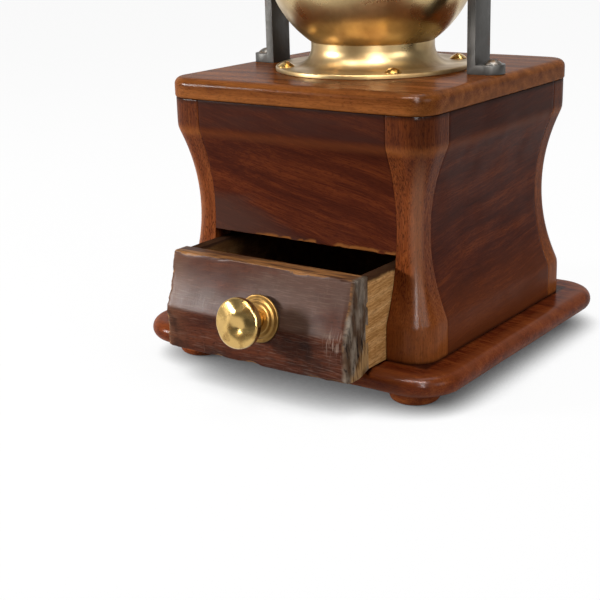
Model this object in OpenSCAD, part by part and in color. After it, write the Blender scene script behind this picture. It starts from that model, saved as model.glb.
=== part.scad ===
// Hand crank coffee mill: a waisted hardwood box with a drawer, a brass hopper bowl under an iron
// bridge, a crank with a turned handle, and a cone mill that hangs under the top board.
// Millimetres, +Z up. The origin is on the table under the middle of the box. The drawer opens
// towards -Y, and stands partly open.

/* [Box] */
// Width and depth of the box over plinth and frieze
body_w = 120; // [112:1:130]
// Height of the box between base board and top board
body_h = 92; // [88:1:110]
// Height of the plain band round the foot of the box
plinth_h = 14; // [10:1:18]
// Height of the plain band round the head of the box
frieze_h = 12; // [9:1:16]
// Depth of the hollow worked round the waist
cove_depth = 7.6; // [4:0.2:8.6]
// Plan radius of the box's corners at plinth and frieze
corner_r = 10.5; // [9.5:0.5:14]
// Side of the square blanks of the corner posts, and thickness of the panels
post_w = 16.8; // [16:0.2:19]
// Thickness of the tongues on the panels' ends
tongue_t = 3.6; // [3:0.2:4]
// Length of the tongues on the panels' ends
tongue_l = 3; // [2:0.2:3.4]
// Wood left between a tongue and the inside of the box
tongue_in = 3.6; // [3.6:0.1:4]

/* [Base and feet] */
// Width and depth of the base board over its nose
base_w = 146; // [144:1:160]
// Thickness of the base board, whose edge is a half round
base_t = 8.3; // [7:0.1:10]
// Plan radius of the base board's corners
base_corner_r = 18; // [14:1:24]
// Diameter of a foot
foot_d = 19.6; // [16:0.2:22]
// Height of a foot
foot_h = 7; // [5:0.5:9]
// Rounding of a foot's lower edge
foot_edge_r = 3.5; // [2:0.1:4]
// How far the feet's centres stand outside the posts' centres, to the left and right
foot_out_x = 0.4; // [0:0.1:3]
// How far the feet's centres stand outside the posts' centres, to the front and back
foot_out_y = 2.4; // [0:0.1:3]

/* [Top board] */
// Thickness of the top board
top_t = 8; // [7:0.5:12]
// How far the top board stands out over the frieze
top_over = 0.4; // [0:0.1:2]
// Radius of the top board's upper edge
top_edge_r = 3; // [2:0.5:4]
// Radius of the round hole for the beans
throat_r = 21; // [20:0.5:22]

/* [Drawer] */
// Height of the drawer opening over the base board
opening_h = 38.7; // [38:0.1:40]
// Height of the drawer front
drawer_h = 35.7; // [34:0.1:37]
// How far the drawer front's lower lip hangs into the base board's rebate
front_drop = 2; // [1:0.1:2.4]
// Thickness of that lip at its lower edge
lip_t = 6.5; // [5:0.5:8]
// How much lower the drawer's sides are than its front
side_step = 0.9; // [0.5:0.1:4]
// Thickness of the drawer front behind the plinth's face
front_t = 14.5; // [13:0.5:15.5]
// Thickness of the drawer's sides and back
side_t = 5; // [4:0.5:7]
// Thickness of the drawer's bottom board
bottom_t = 3; // [2.5:0.5:4]
// Depth of the grooves that hold the bottom board and the sides' tongues
groove_d = 2.5; // [2:0.1:3]
// How far the drawer stands open
drawer_out = 26; // [10:1:40]
// Room under and beside the drawer
slide_gap = 0.2; // [0.1:0.05:0.5]
// Room behind the closed drawer
back_gap = 0.4; // [0.2:0.1:2]
// Radius of a brad's shank
brad_r = 0.6; // [0.5:0.1:0.8]
// Length of a brad
brad_l = 14; // [10:1:18]

/* [Drawer knob] */
// Height of the knob's centre over the base board
knob_h = 16.7; // [14:0.1:18]
// Distance of the knob from the middle of the drawer front
knob_x = 3; // [0:0.2:5]
// Angle by which the knob leans up from level
knob_lean = 8; // [4:0.5:12]
// Depth of the rosette's seat in the crease of the drawer front
seat_depth = 0.9; // [0.6:0.1:1.2]
// Radius of the knob's head
knob_r = 9.6; // [7:0.2:11]
// Thickness of the head at its rounded rim
knob_rim_t = 5.8; // [5:0.2:7]
// How far the head stands out from the drawer front
knob_out = 17.1; // [15:0.5:20]
// Rise of the head's crown over its rim
knob_crown = 0.6; // [0.4:0.1:1]
// Radius of the knob's neck
neck_r = 3.5; // [3.2:0.1:4.5]
// Radius of the rosette
rosette_r = 9.2; // [8:0.1:11]
// Thickness of the rosette
rosette_t = 2.2; // [1.6:0.1:3]
// Radius of the hanger screw that holds the knob
knob_screw_r = 1.9; // [1.5:0.1:2.2]
// How far that screw reaches into the knob
knob_screw_bite = 5; // [4:0.5:7]
// How far that screw reaches into the drawer front
knob_screw_grip = 10; // [8:0.5:11]

/* [Hopper bowl] */
// Outer radius of the bowl at its mouth
bowl_r = 43; // [38:0.5:44]
// Height of the bowl
bowl_h = 46; // [44:0.5:56]
// Wall of the bowl
bowl_t = 1.4; // [1:0.1:2]
// Radius of the bead round the mouth
bead_r = 1.3; // [1:0.1:1.6]
// Metal round the bean hole in the bowl's foot
foot_wall = 4; // [3:0.5:5]
// Radius of the hollow between the foot and its flange
foot_fillet = 7; // [5:0.5:8]
// Metal between the screw heads and the edge of a flange
flange_edge = 0.5; // [0.2:0.1:1]
// Thickness of the flange
flange_t = 1.8; // [1.4:0.1:3]

/* [Bridge] */
// Width of the bridge's strap
bridge_w = 12; // [10:0.5:16]
// Thickness of the bridge's strap
bridge_t = 3.6; // [3:0.2:5]
// Room between the bowl's rim and the bridge
bridge_gap = 2; // [1:0.1:3]
// Inner radius of the bridge's bends
bend_r = 6; // [4:0.5:10]
// Length of the bridge's feet
bridge_foot = 9; // [8:0.5:10]
// Radius of the bridge's hub
hub_r = 9; // [8.5:0.5:11]
// How far the hub reaches below the strap
hub_drop = 5; // [3:0.5:8]
// How far the hub stands over the strap
hub_rise = 1.6; // [1:0.2:3]
// Wall of the top bearing bush
bush_t = 2; // [1.5:0.1:2.5]
// Width and thickness of the bush's collar
bush_collar = 1.2; // [1:0.1:1.5]

/* [Mill] */
// Depth of the mill housing below the top board
housing_h = 31; // [29:0.5:33]
// Thickness of the housing's flange
housing_flange_t = 4; // [3.6:0.2:5]
// Outer radius of the housing
housing_r = 28; // [27:0.5:28.5]
// Outer radius of the toothed ring
ring_r = 24; // [23.5:0.1:24.5]
// Height of the toothed ring
ring_h = 18; // [16:0.5:20]
// Radius of the ring's mouth at its lower face
ring_mouth_r = 21; // [20.5:0.1:21.5]
// Height of the fine teeth at the foot of ring and cone
fine_h = 5.7; // [5:0.1:7]
// Slope of the fine teeth, from the vertical
fine_angle = 19; // [15:1:22]
// Room between cone and ring at the coarsest setting, measured level
burr_gap = 0.85; // [0.8:0.01:1.2]
// Height of the cone
cone_h = 23; // [21:0.5:25]
// Radius of the cone at its top
cone_top_r = 8.5; // [8:0.1:10]
// Height of the cone's collar
cone_collar_h = 5; // [4:0.5:6]
// Radius of the cross pin
pin_r = 1.2; // [1:0.1:1.4]
// Slant of the cone's teeth, from the axis
cone_skew = 16; // [10:1:20]
// Slant of the ring's teeth, from the axis
ring_skew = 12; // [8:1:16]
// Depth of the cone's coarse teeth
cone_tooth_d = 1.6; // [1:0.1:2]
// Depth of the cone's fine teeth
fine_tooth_d = 1; // [0.6:0.1:1.2]
// Depth of the ring's teeth
ring_tooth_d = 1.3; // [0.8:0.1:1.6]
// Number of teeth on the cone
cone_teeth = 12; // [8:1:14]
// Number of teeth in the ring
ring_teeth = 16; // [12:1:20]

/* [Yoke and adjusting screw] */
// Drop of the yoke below the housing
yoke_drop = 14; // [13:0.5:15]
// Width of the yoke's strap
yoke_w = 12; // [10:0.5:14]
// Thickness of the yoke's strap
yoke_t = 4; // [3:0.5:5]
// Length of the housing's lugs, which the yoke hangs from
lug_l = 10; // [9:0.5:12]
// Height of the lugs
lug_h = 7; // [6:0.5:9]
// Metal round the adjusting screw in the yoke's boss
yoke_boss_wall = 5; // [4:0.5:6]
// How far the boss reaches below the strap
yoke_boss_low = 1; // [0.5:0.1:2]
// How far the boss stands over the strap
yoke_boss_high = 2; // [1:0.1:3]
// Radius of the adjusting screw
adjust_r = 3; // [2.6:0.1:3.4]
// How far the adjusting screw stands over the boss
adjust_rise = 1.3; // [1:0.1:2]
// Room between the adjusting screw and the spindle, which the thrust ball bridges
ball_gap = 1; // [0.6:0.1:1.5]
// Lead of its thread
adjust_pitch = 0.7; // [0.5:0.1:1]
// Travel of the adjusting screw
adjust_travel = 1.5; // [1:0.1:1.8]
// Radius of its thumb wheel
wheel_r = 9; // [7:0.5:11]
// Thickness of its thumb wheel
wheel_t = 4; // [3:0.2:4.6]
// Notches round the thumb wheel
wheel_notches = 16; // [12:1:20]
// Length of the friction spring at rest
spring_l = 4.5; // [4:0.1:5]
// Wire of the friction spring
spring_wire = 0.8; // [0.6:0.05:0.9]
// Turns of the friction spring
spring_turns = 3; // [2:1:3]
// Radius of the thrust ball
ball_r = 2.5; // [2:0.1:2.8]

/* [Crank] */
// Radius of the spindle
spindle_r = 4; // [3.6:0.1:4.4]
// Side of the square that the crank sits on
square_w = 6; // [5.4:0.1:6.4]
// Radius of the thread on top of the spindle
tip_r = 2.5; // [2:0.1:2.6]
// Distance from the spindle to the handle's pin
crank_reach = 101.6; // [90:0.2:110]
// Direction of the crank, turned from straight back
crank_angle = 30; // [0:5:40]
// Thickness of the crank's arm
crank_t = 4.2; // [3.4:0.2:5]
// Rise of the arm from hub to handle
crank_rise = 7; // [4:0.5:12]
// Radius of the crank's hub
crank_hub_r = 9; // [8.5:0.5:11]
// Height of the crank's hub
crank_hub_h = 6; // [5:0.2:8]
// Width of the arm beside the hub
arm_w1 = 12; // [9:0.5:14]
// Width of the arm beside the handle
arm_w2 = 9; // [7:0.5:10]
// Radius of the boss under the handle
boss_r = 7; // [6:0.5:8]
// Room between the bridge's bush and the crank
crank_gap = 1.5; // [0.5:0.1:3]
// Width of the cap nut across its flats
nut_w = 11; // [10:0.5:13]
// Height of the cap nut's six-sided part
nut_h = 5; // [4:0.5:7]

/* [Handle] */
// Height of the wooden handle
handle_h = 36; // [33:0.5:42]
// Radius of the handle's belly
handle_r = 14; // [12:0.5:15]
// Radius of the handle's neck
handle_neck_r = 6.4; // [5.8:0.1:7]
// Radius of the handle's foot inside the ferrule
handle_foot_r = 8.2; // [8:0.1:9]
// Height of the ferrule
ferrule_h = 3; // [2:0.2:3.6]
// Wall of the ferrule
ferrule_t = 0.8; // [0.5:0.1:1.2]
// Radius of the pin that the handle turns on
handle_pin_r = 2.5; // [2:0.1:2.8]
// Radius of the pin's heads
pin_head_r = 4.2; // [3.6:0.1:4.4]
// Thickness of the pin's heads
pin_head_t = 1.8; // [1.2:0.1:2.4]

/* [Screws and clearances] */
// Radius of a wood screw's shank
screw_r = 1.9; // [1.5:0.1:2.1]
// Radius of a wood screw's head
screw_head_r = 3.4; // [3:0.1:3.6]
// Height of a round screw head
screw_head_h = 2; // [1.6:0.1:2.4]
// Room between a screw head and the wall beside it
head_room = 0.3; // [0.2:0.1:0.6]
// Width of a screw driver slot
slot_w = 0.9; // [0.7:0.1:1.2]
// Length of the screws that hold the feet and the posts
foot_screw_l = 26; // [18:1:30]
// Length of the screws that hold the base board to the panels
base_screw_l = 20; // [16:1:26]
// How far a screw reaches into the top board
board_bite = 6; // [5:0.2:6.6]
// Length of the screws that hold the bridge and the top board
bridge_screw_l = 22; // [16:1:28]
// Length of the screws that hold the yoke
yoke_screw_l = 9; // [8:0.5:9.8]
// Radial room round a pressed or screwed piece
fit = 0.02; // [0.01:0.01:0.04]
// Radial room round a turning shaft
run = 0.05; // [0.03:0.01:0.08]
// Room round a glued joint in wood
glue = 0.1; // [0.05:0.05:0.2]
// Play along a pin or a shaft
play = 0.3; // [0.2:0.05:0.5]

/* [Hidden] */

round_fn = 72;
cove_fn = 360;

// The strap stands higher by what its bends take away over the bowl's rim
bend_in = max(0, bend_r - bridge_gap);
bend_lift = bend_r - sqrt(bend_r * bend_r - bend_in * bend_in);

// Levels over the table
base_top = foot_h + base_t;
body_top = base_top + body_h;
board_top = body_top + top_t;
rim_z = board_top + bowl_h;
strap_z = rim_z + bridge_gap + bend_lift;
hub_top = strap_z + bridge_t + hub_rise;
hub_bottom = strap_z - hub_drop;
crank_z = hub_top + bush_collar + crank_gap;
mill_z = body_top - housing_h;
yoke_z = mill_z - yoke_drop;
yoke_boss_bottom = yoke_z - yoke_boss_low;
yoke_boss_top = yoke_z + yoke_t + yoke_boss_high;
screw_tip_z = yoke_boss_top + adjust_rise;
ball_z = screw_tip_z + ball_gap / 2;
spindle_z = screw_tip_z + ball_gap;
wheel_top = yoke_boss_bottom - spring_l;

// The box
inner = body_w / 2 - post_w;
panel_mid = body_w / 2 - post_w / 2;
cove_h = body_h - plinth_h - frieze_h;
cove_r = (cove_h * cove_h / 4 + cove_depth * cove_depth) / (2 * cove_depth);
cove_mid = plinth_h + cove_h / 2;
foot_x = panel_mid + foot_out_x;
foot_y = panel_mid + foot_out_y;
countersink_h = 2.2;
foot_recess = 0.8;
base_screw_off = inner * 0.6;

// The drawer, in its closed place
front_back_y = -body_w / 2 + front_t;
drawer_half = inner - slide_gap;
drawer_end_y = inner - back_gap;
drawer_z = base_top + slide_gap;
side_top = base_top + drawer_h - side_step;
bottom_z = drawer_z + 1.2;
back_step = 2;
brad_levels = [0.3, 0.55, 0.8];
brad_head_r = 1.2;
brad_head_t = 0.4;
knob_z = base_top + knob_h;
face_y = -body_w / 2;

// The bridge and the bowl
leg_in = bowl_r + bead_r + bridge_gap;
leg_out = leg_in + bridge_t;
bridge_screw_x = leg_out + bridge_foot * 0.5;
bush_r = spindle_r + bush_t;
lug_out = housing_r + lug_l;
yoke_in = ring_r - 2;
yoke_screw_x = housing_r + lug_l / 2;
neck_out = throat_r + foot_wall + foot_fillet;
flange_screw_r = neck_out + screw_head_r + head_room;
flange_r = flange_screw_r + screw_head_r + flange_edge;
housing_screw_r = housing_r + screw_head_r + head_room;
housing_flange_r = housing_screw_r + screw_head_r + flange_edge;
foot_top = foot_fillet + flange_t;

// The handle's pin, in the crank's own frame
boss_z = crank_z + crank_rise;
boss_top = boss_z + crank_t;
handle_z = boss_top + play;
recess_h = pin_head_t + 2 * play;

// ---- Shapes that several pieces share ----

// A square slab with round corners and a moulded edge. The child is half of a section: it is
// drawn outwards from the corners' centre line, run along the four sides and turned at the corners.
module moulded_slab(half, r, h) {
    flat = half - r;
    translate([-flat, -flat, 0]) cube([2 * flat, 2 * flat, h]);
    for (a = [0:90:270]) rotate([0, 0, a]) translate([flat, flat, 0]) {
        rotate([90, 0, 0]) linear_extrude(2 * flat) children();
        rotate_extrude(angle = 90, $fn = round_fn) children();
    }
}

// A rectangle whose lower and upper outer corners are rounded
module rounded_section(w, h, low, high) {
    translate([0, low]) square([w, h - low - high]);
    square([w - low, h / 2]);
    translate([0, h / 2]) square([w - high, h / 2]);
    translate([w - low, low]) circle(r = low, $fn = round_fn);
    translate([w - high, h - high]) circle(r = high, $fn = round_fn);
}

// The whole outside of the box: plinth, hollow waist and frieze
module box_form() {
    translate([0, 0, base_top]) moulded_slab(body_w / 2, corner_r, body_h) difference() {
        square([corner_r, body_h]);
        translate([corner_r - cove_depth + cove_r, cove_mid]) circle(r = cove_r, $fn = cove_fn);
    }
}

// A wood screw that points down, with its seat at the origin
module wood_screw(l, flush = false) {
    tip = 2 * screw_r;
    difference() {
        union() {
            if (flush)
                translate([0, 0, -countersink_h])
                    cylinder(r1 = screw_r, r2 = screw_head_r, h = countersink_h, $fn = round_fn);
            else
                rotate_extrude($fn = round_fn) intersection() {
                    square([screw_head_r, screw_head_h]);
                    translate([0, screw_head_h - screw_head_r * 1.2])
                        circle(r = screw_head_r * 1.2, $fn = round_fn);
                }
            translate([0, 0, tip - l]) cylinder(r = screw_r, h = l - tip, $fn = round_fn);
            translate([0, 0, -l]) cylinder(r1 = 0.3, r2 = screw_r, h = tip, $fn = round_fn);
        }
        translate([-screw_head_r - 1, -slot_w / 2, (flush ? 0 : screw_head_h) - 0.8])
            cube([2 * screw_head_r + 2, slot_w, 1]);
    }
}

// The hole that such a screw leaves
module wood_screw_hole(l, flush = false) {
    translate([0, 0, -l - 0.5]) cylinder(r = screw_r + fit, h = l + 1, $fn = round_fn);
    if (flush) {
        translate([0, 0, -countersink_h])
            cylinder(r1 = screw_r + fit, r2 = screw_head_r + fit, h = countersink_h, $fn = round_fn);
        cylinder(r = screw_head_r + fit, h = 2 * countersink_h, $fn = round_fn);
    }
}

// Places for the screws; each turns its child so that it points into the work
module at_feet()
    for (x = [-foot_x, foot_x], y = [-foot_y, foot_y])
        translate([x, y, foot_recess]) rotate([180, 0, 0]) children();

module at_base_screws() {
    for (x = [-panel_mid, panel_mid], y = [-base_screw_off, base_screw_off])
        translate([x, y, foot_h]) rotate([180, 0, 0]) children();
    for (x = [-base_screw_off / 2, base_screw_off / 2])
        translate([x, panel_mid, foot_h]) rotate([180, 0, 0]) children();
}

module at_bridge_screws()
    for (x = [-bridge_screw_x, bridge_screw_x])
        translate([x, 0, board_top + bridge_t]) children();

module at_flange_screws()
    for (a = [45:90:315])
        rotate([0, 0, a]) translate([flange_screw_r, 0, board_top + flange_t]) children();

module at_housing_screws()
    for (a = [45:90:315])
        rotate([0, 0, a]) translate([housing_screw_r, 0, body_top - housing_flange_t])
            rotate([180, 0, 0]) children();

module at_yoke_screws()
    for (x = [-yoke_screw_x, yoke_screw_x])
        translate([x, 0, mill_z - yoke_t]) rotate([180, 0, 0]) children();

// ---- Base and feet ----

module base_plate() color("#6b2f1a") difference() {
    translate([0, 0, foot_h]) moulded_slab(base_w / 2, base_corner_r, base_t) {
        union() {
            square([base_corner_r - base_t / 2, base_t]);
            translate([base_corner_r - base_t / 2, base_t / 2])
                circle(r = base_t / 2, $fn = round_fn);
        }
    }
    translate([-inner, -base_w / 2 - 1, base_top - front_drop])
        cube([2 * inner, base_w / 2 + 1 + front_back_y + slide_gap, front_drop + 1]);
    at_feet() wood_screw_hole(foot_screw_l, true);
    at_base_screws() wood_screw_hole(base_screw_l, true);
}

module foot(sx, sy) color("#4a2013") difference() {
    translate([sx * foot_x, sy * foot_y, 0]) rotate_extrude($fn = round_fn)
        rounded_section(foot_d / 2, foot_h, foot_edge_r, foot_edge_r / 2);
    at_feet() wood_screw_hole(foot_screw_l, true);
}

module foot_screws() color("#8a7a50") at_feet() wood_screw(foot_screw_l, true);

module base_screws() color("#8a7a50") at_base_screws() wood_screw(base_screw_l, true);

// ---- Posts, panels and top board ----

// The stretch of a panel's tongue, or of the groove it sits in, on all four sides of the box
module tongues(l, extra) {
    near = inner + tongue_in - extra;
    far = inner + tongue_in + tongue_t + extra;
    reach = inner + l;
    for (s = [-1, 1]) {
        translate([-reach, s > 0 ? near : -far, base_top - extra])
            cube([2 * reach, far - near, body_h + 2 * extra]);
        translate([s > 0 ? near : -far, -reach, base_top - extra])
            cube([far - near, 2 * reach, body_h + 2 * extra]);
    }
}

module post(sx, sy) color("#9a5220") difference() {
    intersection() {
        box_form();
        translate([sx > 0 ? inner : -body_w / 2, sy > 0 ? inner : -body_w / 2, base_top])
            cube([post_w, post_w, body_h]);
    }
    tongues(tongue_l + glue, glue);
    at_feet() wood_screw_hole(foot_screw_l, true);
}

// A panel on the +Y side, from z0 up to the top board
module panel(z0) {
    near = inner + tongue_in;
    reach = inner + tongue_l;
    intersection() {
        box_form();
        translate([-inner, inner, z0]) cube([2 * inner, post_w, body_top - z0]);
    }
    for (s = [-1, 1])
        translate([s > 0 ? inner : -reach, near, z0])
            cube([tongue_l, tongue_t, body_top - z0]);
}

module front_panel() color("#5a2415") rotate([0, 0, 180]) panel(base_top + opening_h);

module side_panel(turn) color("#4e2214") difference() {
    rotate([0, 0, turn]) panel(base_top);
    at_base_screws() wood_screw_hole(base_screw_l, true);
    at_bridge_screws() wood_screw_hole(bridge_screw_l);
}

module left_panel() side_panel(90);

module right_panel() side_panel(-90);

module back_panel() color("#4e2214") difference() {
    panel(base_top);
    at_base_screws() wood_screw_hole(base_screw_l, true);
}

module top_board() color("#a5601f") difference() {
    translate([0, 0, body_top])
        moulded_slab(body_w / 2 + top_over, corner_r + top_over, top_t)
            rounded_section(corner_r + top_over, top_t, 1, top_edge_r);
    translate([0, 0, body_top - 1]) cylinder(r = throat_r, h = top_t + 2, $fn = round_fn);
    at_flange_screws() wood_screw_hole(board_bite + flange_t);
    at_housing_screws() wood_screw_hole(board_bite + housing_flange_t);
    at_bridge_screws() wood_screw_hole(bridge_screw_l);
}

// ---- Hopper and bridge ----

module hopper_bowl() color("#c79a3c") difference() {
    translate([0, 0, board_top]) rotate_extrude($fn = round_fn) difference() {
        union() {
            intersection() {
                translate([0, bowl_h]) circle(r = bowl_r, $fn = cove_fn);
                square([bowl_r, bowl_h]);
            }
            difference() {
                square([flange_r, foot_top]);
                translate([neck_out, foot_top])
                    circle(r = foot_fillet, $fn = round_fn);
                translate([neck_out, flange_t])
                    square([flange_r, foot_top]);
            }
            square([throat_r + foot_wall, bowl_h - sqrt(pow(bowl_r, 2) - pow(throat_r + foot_wall, 2))]);
            translate([bowl_r, bowl_h - bead_r]) circle(r = bead_r, $fn = round_fn);
        }
        translate([0, bowl_h]) circle(r = bowl_r - bowl_t, $fn = cove_fn);
        translate([0, -1]) square([throat_r, bowl_h]);
    }
    at_flange_screws() wood_screw_hole(board_bite + flange_t);
}

module hopper_screws() color("#b58c3a") at_flange_screws() wood_screw(board_bite + flange_t);

// The bridge's side view: two legs with feet, joined by a bar with round bends
module bridge_section() {
    outer_r = bend_r + bridge_t;
    leg_h = strap_z - board_top;
    difference() {
        union() {
            translate([-leg_out, 0]) square([2 * leg_out, leg_h + bridge_t - outer_r]);
            translate([-leg_out + outer_r, 0]) square([2 * (leg_out - outer_r), leg_h + bridge_t]);
            for (s = [-1, 1])
                translate([s * (leg_out - outer_r), leg_h + bridge_t - outer_r])
                    circle(r = outer_r, $fn = round_fn);
        }
        translate([-leg_in, -1]) square([2 * leg_in, leg_h - bend_r + 1]);
        translate([-leg_in + bend_r, -1]) square([2 * (leg_in - bend_r), leg_h + 1]);
        for (s = [-1, 1])
            translate([s * (leg_in - bend_r), leg_h - bend_r]) circle(r = bend_r, $fn = round_fn);
    }
    for (s = [-1, 1])
        translate([s > 0 ? leg_out - 0.5 : -leg_out - bridge_foot, 0])
            square([bridge_foot + 0.5, bridge_t]);
}

module bridge() color("#3a3a3c") difference() {
    union() {
        intersection() {
            translate([0, bridge_w / 2 + 1, board_top]) rotate([90, 0, 0])
                linear_extrude(bridge_w + 2) bridge_section();
            translate([0, 0, board_top - 1]) linear_extrude(strap_z + bridge_t) union() {
                end_x = leg_out + bridge_foot - bridge_w / 2;
                translate([-end_x, -bridge_w / 2]) square([2 * end_x, bridge_w]);
                for (s = [-1, 1]) translate([s * end_x, 0]) circle(r = bridge_w / 2, $fn = round_fn);
            }
        }
        translate([0, 0, hub_bottom]) cylinder(r = hub_r, h = hub_top - hub_bottom, $fn = round_fn);
    }
    translate([0, 0, hub_bottom - 1])
        cylinder(r = bush_r + fit, h = hub_top - hub_bottom + 2, $fn = round_fn);
    at_bridge_screws() wood_screw_hole(bridge_screw_l);
}

module bridge_screws() color("#55514c") at_bridge_screws() wood_screw(bridge_screw_l);

module top_bearing() color("#b08a4a") difference() {
    union() {
        translate([0, 0, hub_bottom]) cylinder(r = bush_r, h = hub_top - hub_bottom, $fn = round_fn);
        translate([0, 0, hub_top]) cylinder(r = bush_r + bush_collar, h = bush_collar, $fn = round_fn);
    }
    translate([0, 0, hub_bottom - 1])
        cylinder(r = spindle_r + run, h = hub_top - hub_bottom + bush_collar + 2, $fn = round_fn);
}

// ---- Mill ----

module mill_housing() color("#4b4b4d") difference() {
    union() {
        translate([0, 0, mill_z]) cylinder(r = housing_r, h = housing_h, $fn = round_fn);
        translate([0, 0, body_top - housing_flange_t])
            cylinder(r = housing_flange_r, h = housing_flange_t, $fn = round_fn);
        translate([-lug_out, -yoke_w / 2, mill_z]) cube([2 * lug_out, yoke_w, lug_h]);
    }
    translate([0, 0, mill_z - 1]) cylinder(r = ring_r + fit, h = ring_h + 1, $fn = round_fn);
    translate([0, 0, mill_z]) cylinder(r = throat_r, h = housing_h + 1, $fn = round_fn);
    at_housing_screws() wood_screw_hole(board_bite + housing_flange_t);
    at_yoke_screws() yoke_bolt_hole();
}

module housing_screws() color("#55514c")
    at_housing_screws() wood_screw(board_bite + housing_flange_t);

// A slanting V-shaped tooth gap along a cone's side, from its large end upwards
module tooth_gap(r, h, lean, skew, depth) {
    run_out = 5 * depth;
    translate([r, 0, 0]) rotate([skew, 0, 0]) rotate([0, -lean, 0])
        translate([0, 0, -run_out / 2]) cylinder(r = depth, h = h / cos(lean) + run_out, $fn = 4);
}

// Half section of the burrs' working faces: fine teeth below, a wider mouth for beans above
function ring_waist_r() = ring_mouth_r - fine_h * tan(fine_angle);

module burr_ring() color("#6a6a6c") difference() {
    translate([0, 0, mill_z]) rotate_extrude($fn = round_fn) polygon([
        [ring_mouth_r, 0], [ring_r, 0], [ring_r, ring_h], [ring_waist_r() - 0.8, ring_h],
        [ring_waist_r(), fine_h]
    ]);
    for (i = [0:ring_teeth - 1]) rotate([0, 0, i * 360 / ring_teeth])
        translate([0, 0, mill_z]) tooth_gap(ring_mouth_r, ring_h, fine_angle / 3, -ring_skew, ring_tooth_d);
}

module burr_cone() color("#77777a") difference() {
    foot_r = ring_mouth_r - burr_gap;
    waist_r = ring_waist_r() - burr_gap;
    slope = atan((waist_r - cone_top_r) / (cone_h - fine_h));
    tooth_off = cone_tooth_d * 0.75;
    fine_off = fine_tooth_d * 0.2;
    union() {
        translate([0, 0, mill_z]) rotate_extrude($fn = round_fn) polygon([
            [0, 0], [foot_r, 0], [waist_r, fine_h], [cone_top_r, cone_h], [0, cone_h]
        ]);
        translate([0, 0, mill_z + cone_h - 0.5])
            cylinder(r = cone_top_r - 0.7, h = cone_collar_h + 0.5, $fn = round_fn);
    }
    for (i = [0:cone_teeth - 1]) rotate([0, 0, i * 360 / cone_teeth])
        translate([0, 0, mill_z + fine_h / 2])
            tooth_gap(waist_r + tooth_off, cone_h, slope, cone_skew, cone_tooth_d);
    for (i = [0:cone_teeth - 1]) rotate([0, 0, (i + 0.5) * 360 / cone_teeth])
        translate([0, 0, mill_z]) tooth_gap(foot_r + fine_off, fine_h, fine_angle, cone_skew, fine_tooth_d);
    translate([0, 0, mill_z - 1])
        cylinder(r = spindle_r + fit, h = cone_h + cone_collar_h + 2, $fn = round_fn);
    cross_pin(fit);
}

// The pin across the cone's collar and the spindle, with extra radius for its hole
module cross_pin(extra) {
    l = 2 * (cone_top_r - 0.7) - 0.4 + 4 * (extra > 0 ? 1 : 0);
    translate([0, l / 2, mill_z + cone_h + cone_collar_h / 2]) rotate([90, 0, 0])
        cylinder(r = pin_r + extra, h = l, $fn = round_fn);
}

module burr_pin() color("#8b8b8e") cross_pin(0);

// ---- Yoke, adjusting screw and thrust ball ----

module lower_yoke() color("#454547") difference() {
    union() {
        translate([0, yoke_w / 2, 0]) rotate([90, 0, 0]) linear_extrude(yoke_w) for (s = [-1, 1]) {
            translate([s > 0 ? yoke_in : -lug_out, mill_z - yoke_t])
                square([lug_out - yoke_in, yoke_t]);
            translate([s > 0 ? yoke_in : -yoke_in - yoke_t, yoke_z]) square([yoke_t, yoke_drop]);
            translate([s > 0 ? 0 : -yoke_in - yoke_t, yoke_z]) square([yoke_in + yoke_t, yoke_t]);
        }
        translate([0, 0, yoke_boss_bottom])
            cylinder(r = adjust_r + yoke_boss_wall, h = yoke_boss_top - yoke_boss_bottom, $fn = round_fn);
    }
    translate([0, 0, yoke_boss_bottom - 1])
        cylinder(r = adjust_r + run, h = yoke_boss_top - yoke_boss_bottom + 2, $fn = round_fn);
    at_yoke_screws() yoke_bolt_hole();
}

module yoke_bolt_hole()
    translate([0, 0, -yoke_screw_l - 0.5])
        cylinder(r = screw_r + fit, h = yoke_screw_l + 1, $fn = round_fn);

// Cheese-head machine screws
module yoke_screws() color("#8b8b8e") at_yoke_screws() difference() {
    union() {
        translate([0, 0, -yoke_screw_l]) cylinder(r = screw_r, h = yoke_screw_l, $fn = round_fn);
        cylinder(r = screw_head_r, h = screw_head_h, $fn = round_fn);
    }
    translate([-screw_head_r - 1, -slot_w / 2, screw_head_h - 0.8])
        cube([2 * screw_head_r + 2, slot_w, 1]);
}

// The spring's wire is swept along a helix between the yoke's boss and the thumb wheel
module friction_spring() color("#9a9a9c") {
    steps = 16;
    sides = 8;
    n = steps * spring_turns;
    mid_r = adjust_r + 1 + spring_wire / 2;
    rise = spring_l - spring_wire - 0.2;
    pts = [
        for (i = [0:n], k = [0:sides - 1])
            let (a = i * 360 / steps, b = k * 360 / sides, q = mid_r + spring_wire / 2 * cos(b))
            [q * cos(a), q * sin(a), wheel_top + 0.1 + spring_wire / 2 + rise * i / n
                + spring_wire / 2 * sin(b)]
    ];
    faces = [
        for (i = [0:n - 1], k = [0:sides - 1])
            [i * sides + k, (i + 1) * sides + k, (i + 1) * sides + (k + 1) % sides,
                i * sides + (k + 1) % sides],
        [for (k = [0:sides - 1]) k],
        [for (k = [sides - 1:-1:0]) n * sides + k]
    ];
    polyhedron(pts, faces);
}

module thrust_ball() color("#c8c8cc") translate([0, 0, ball_z]) sphere(r = ball_r, $fn = round_fn);

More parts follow.
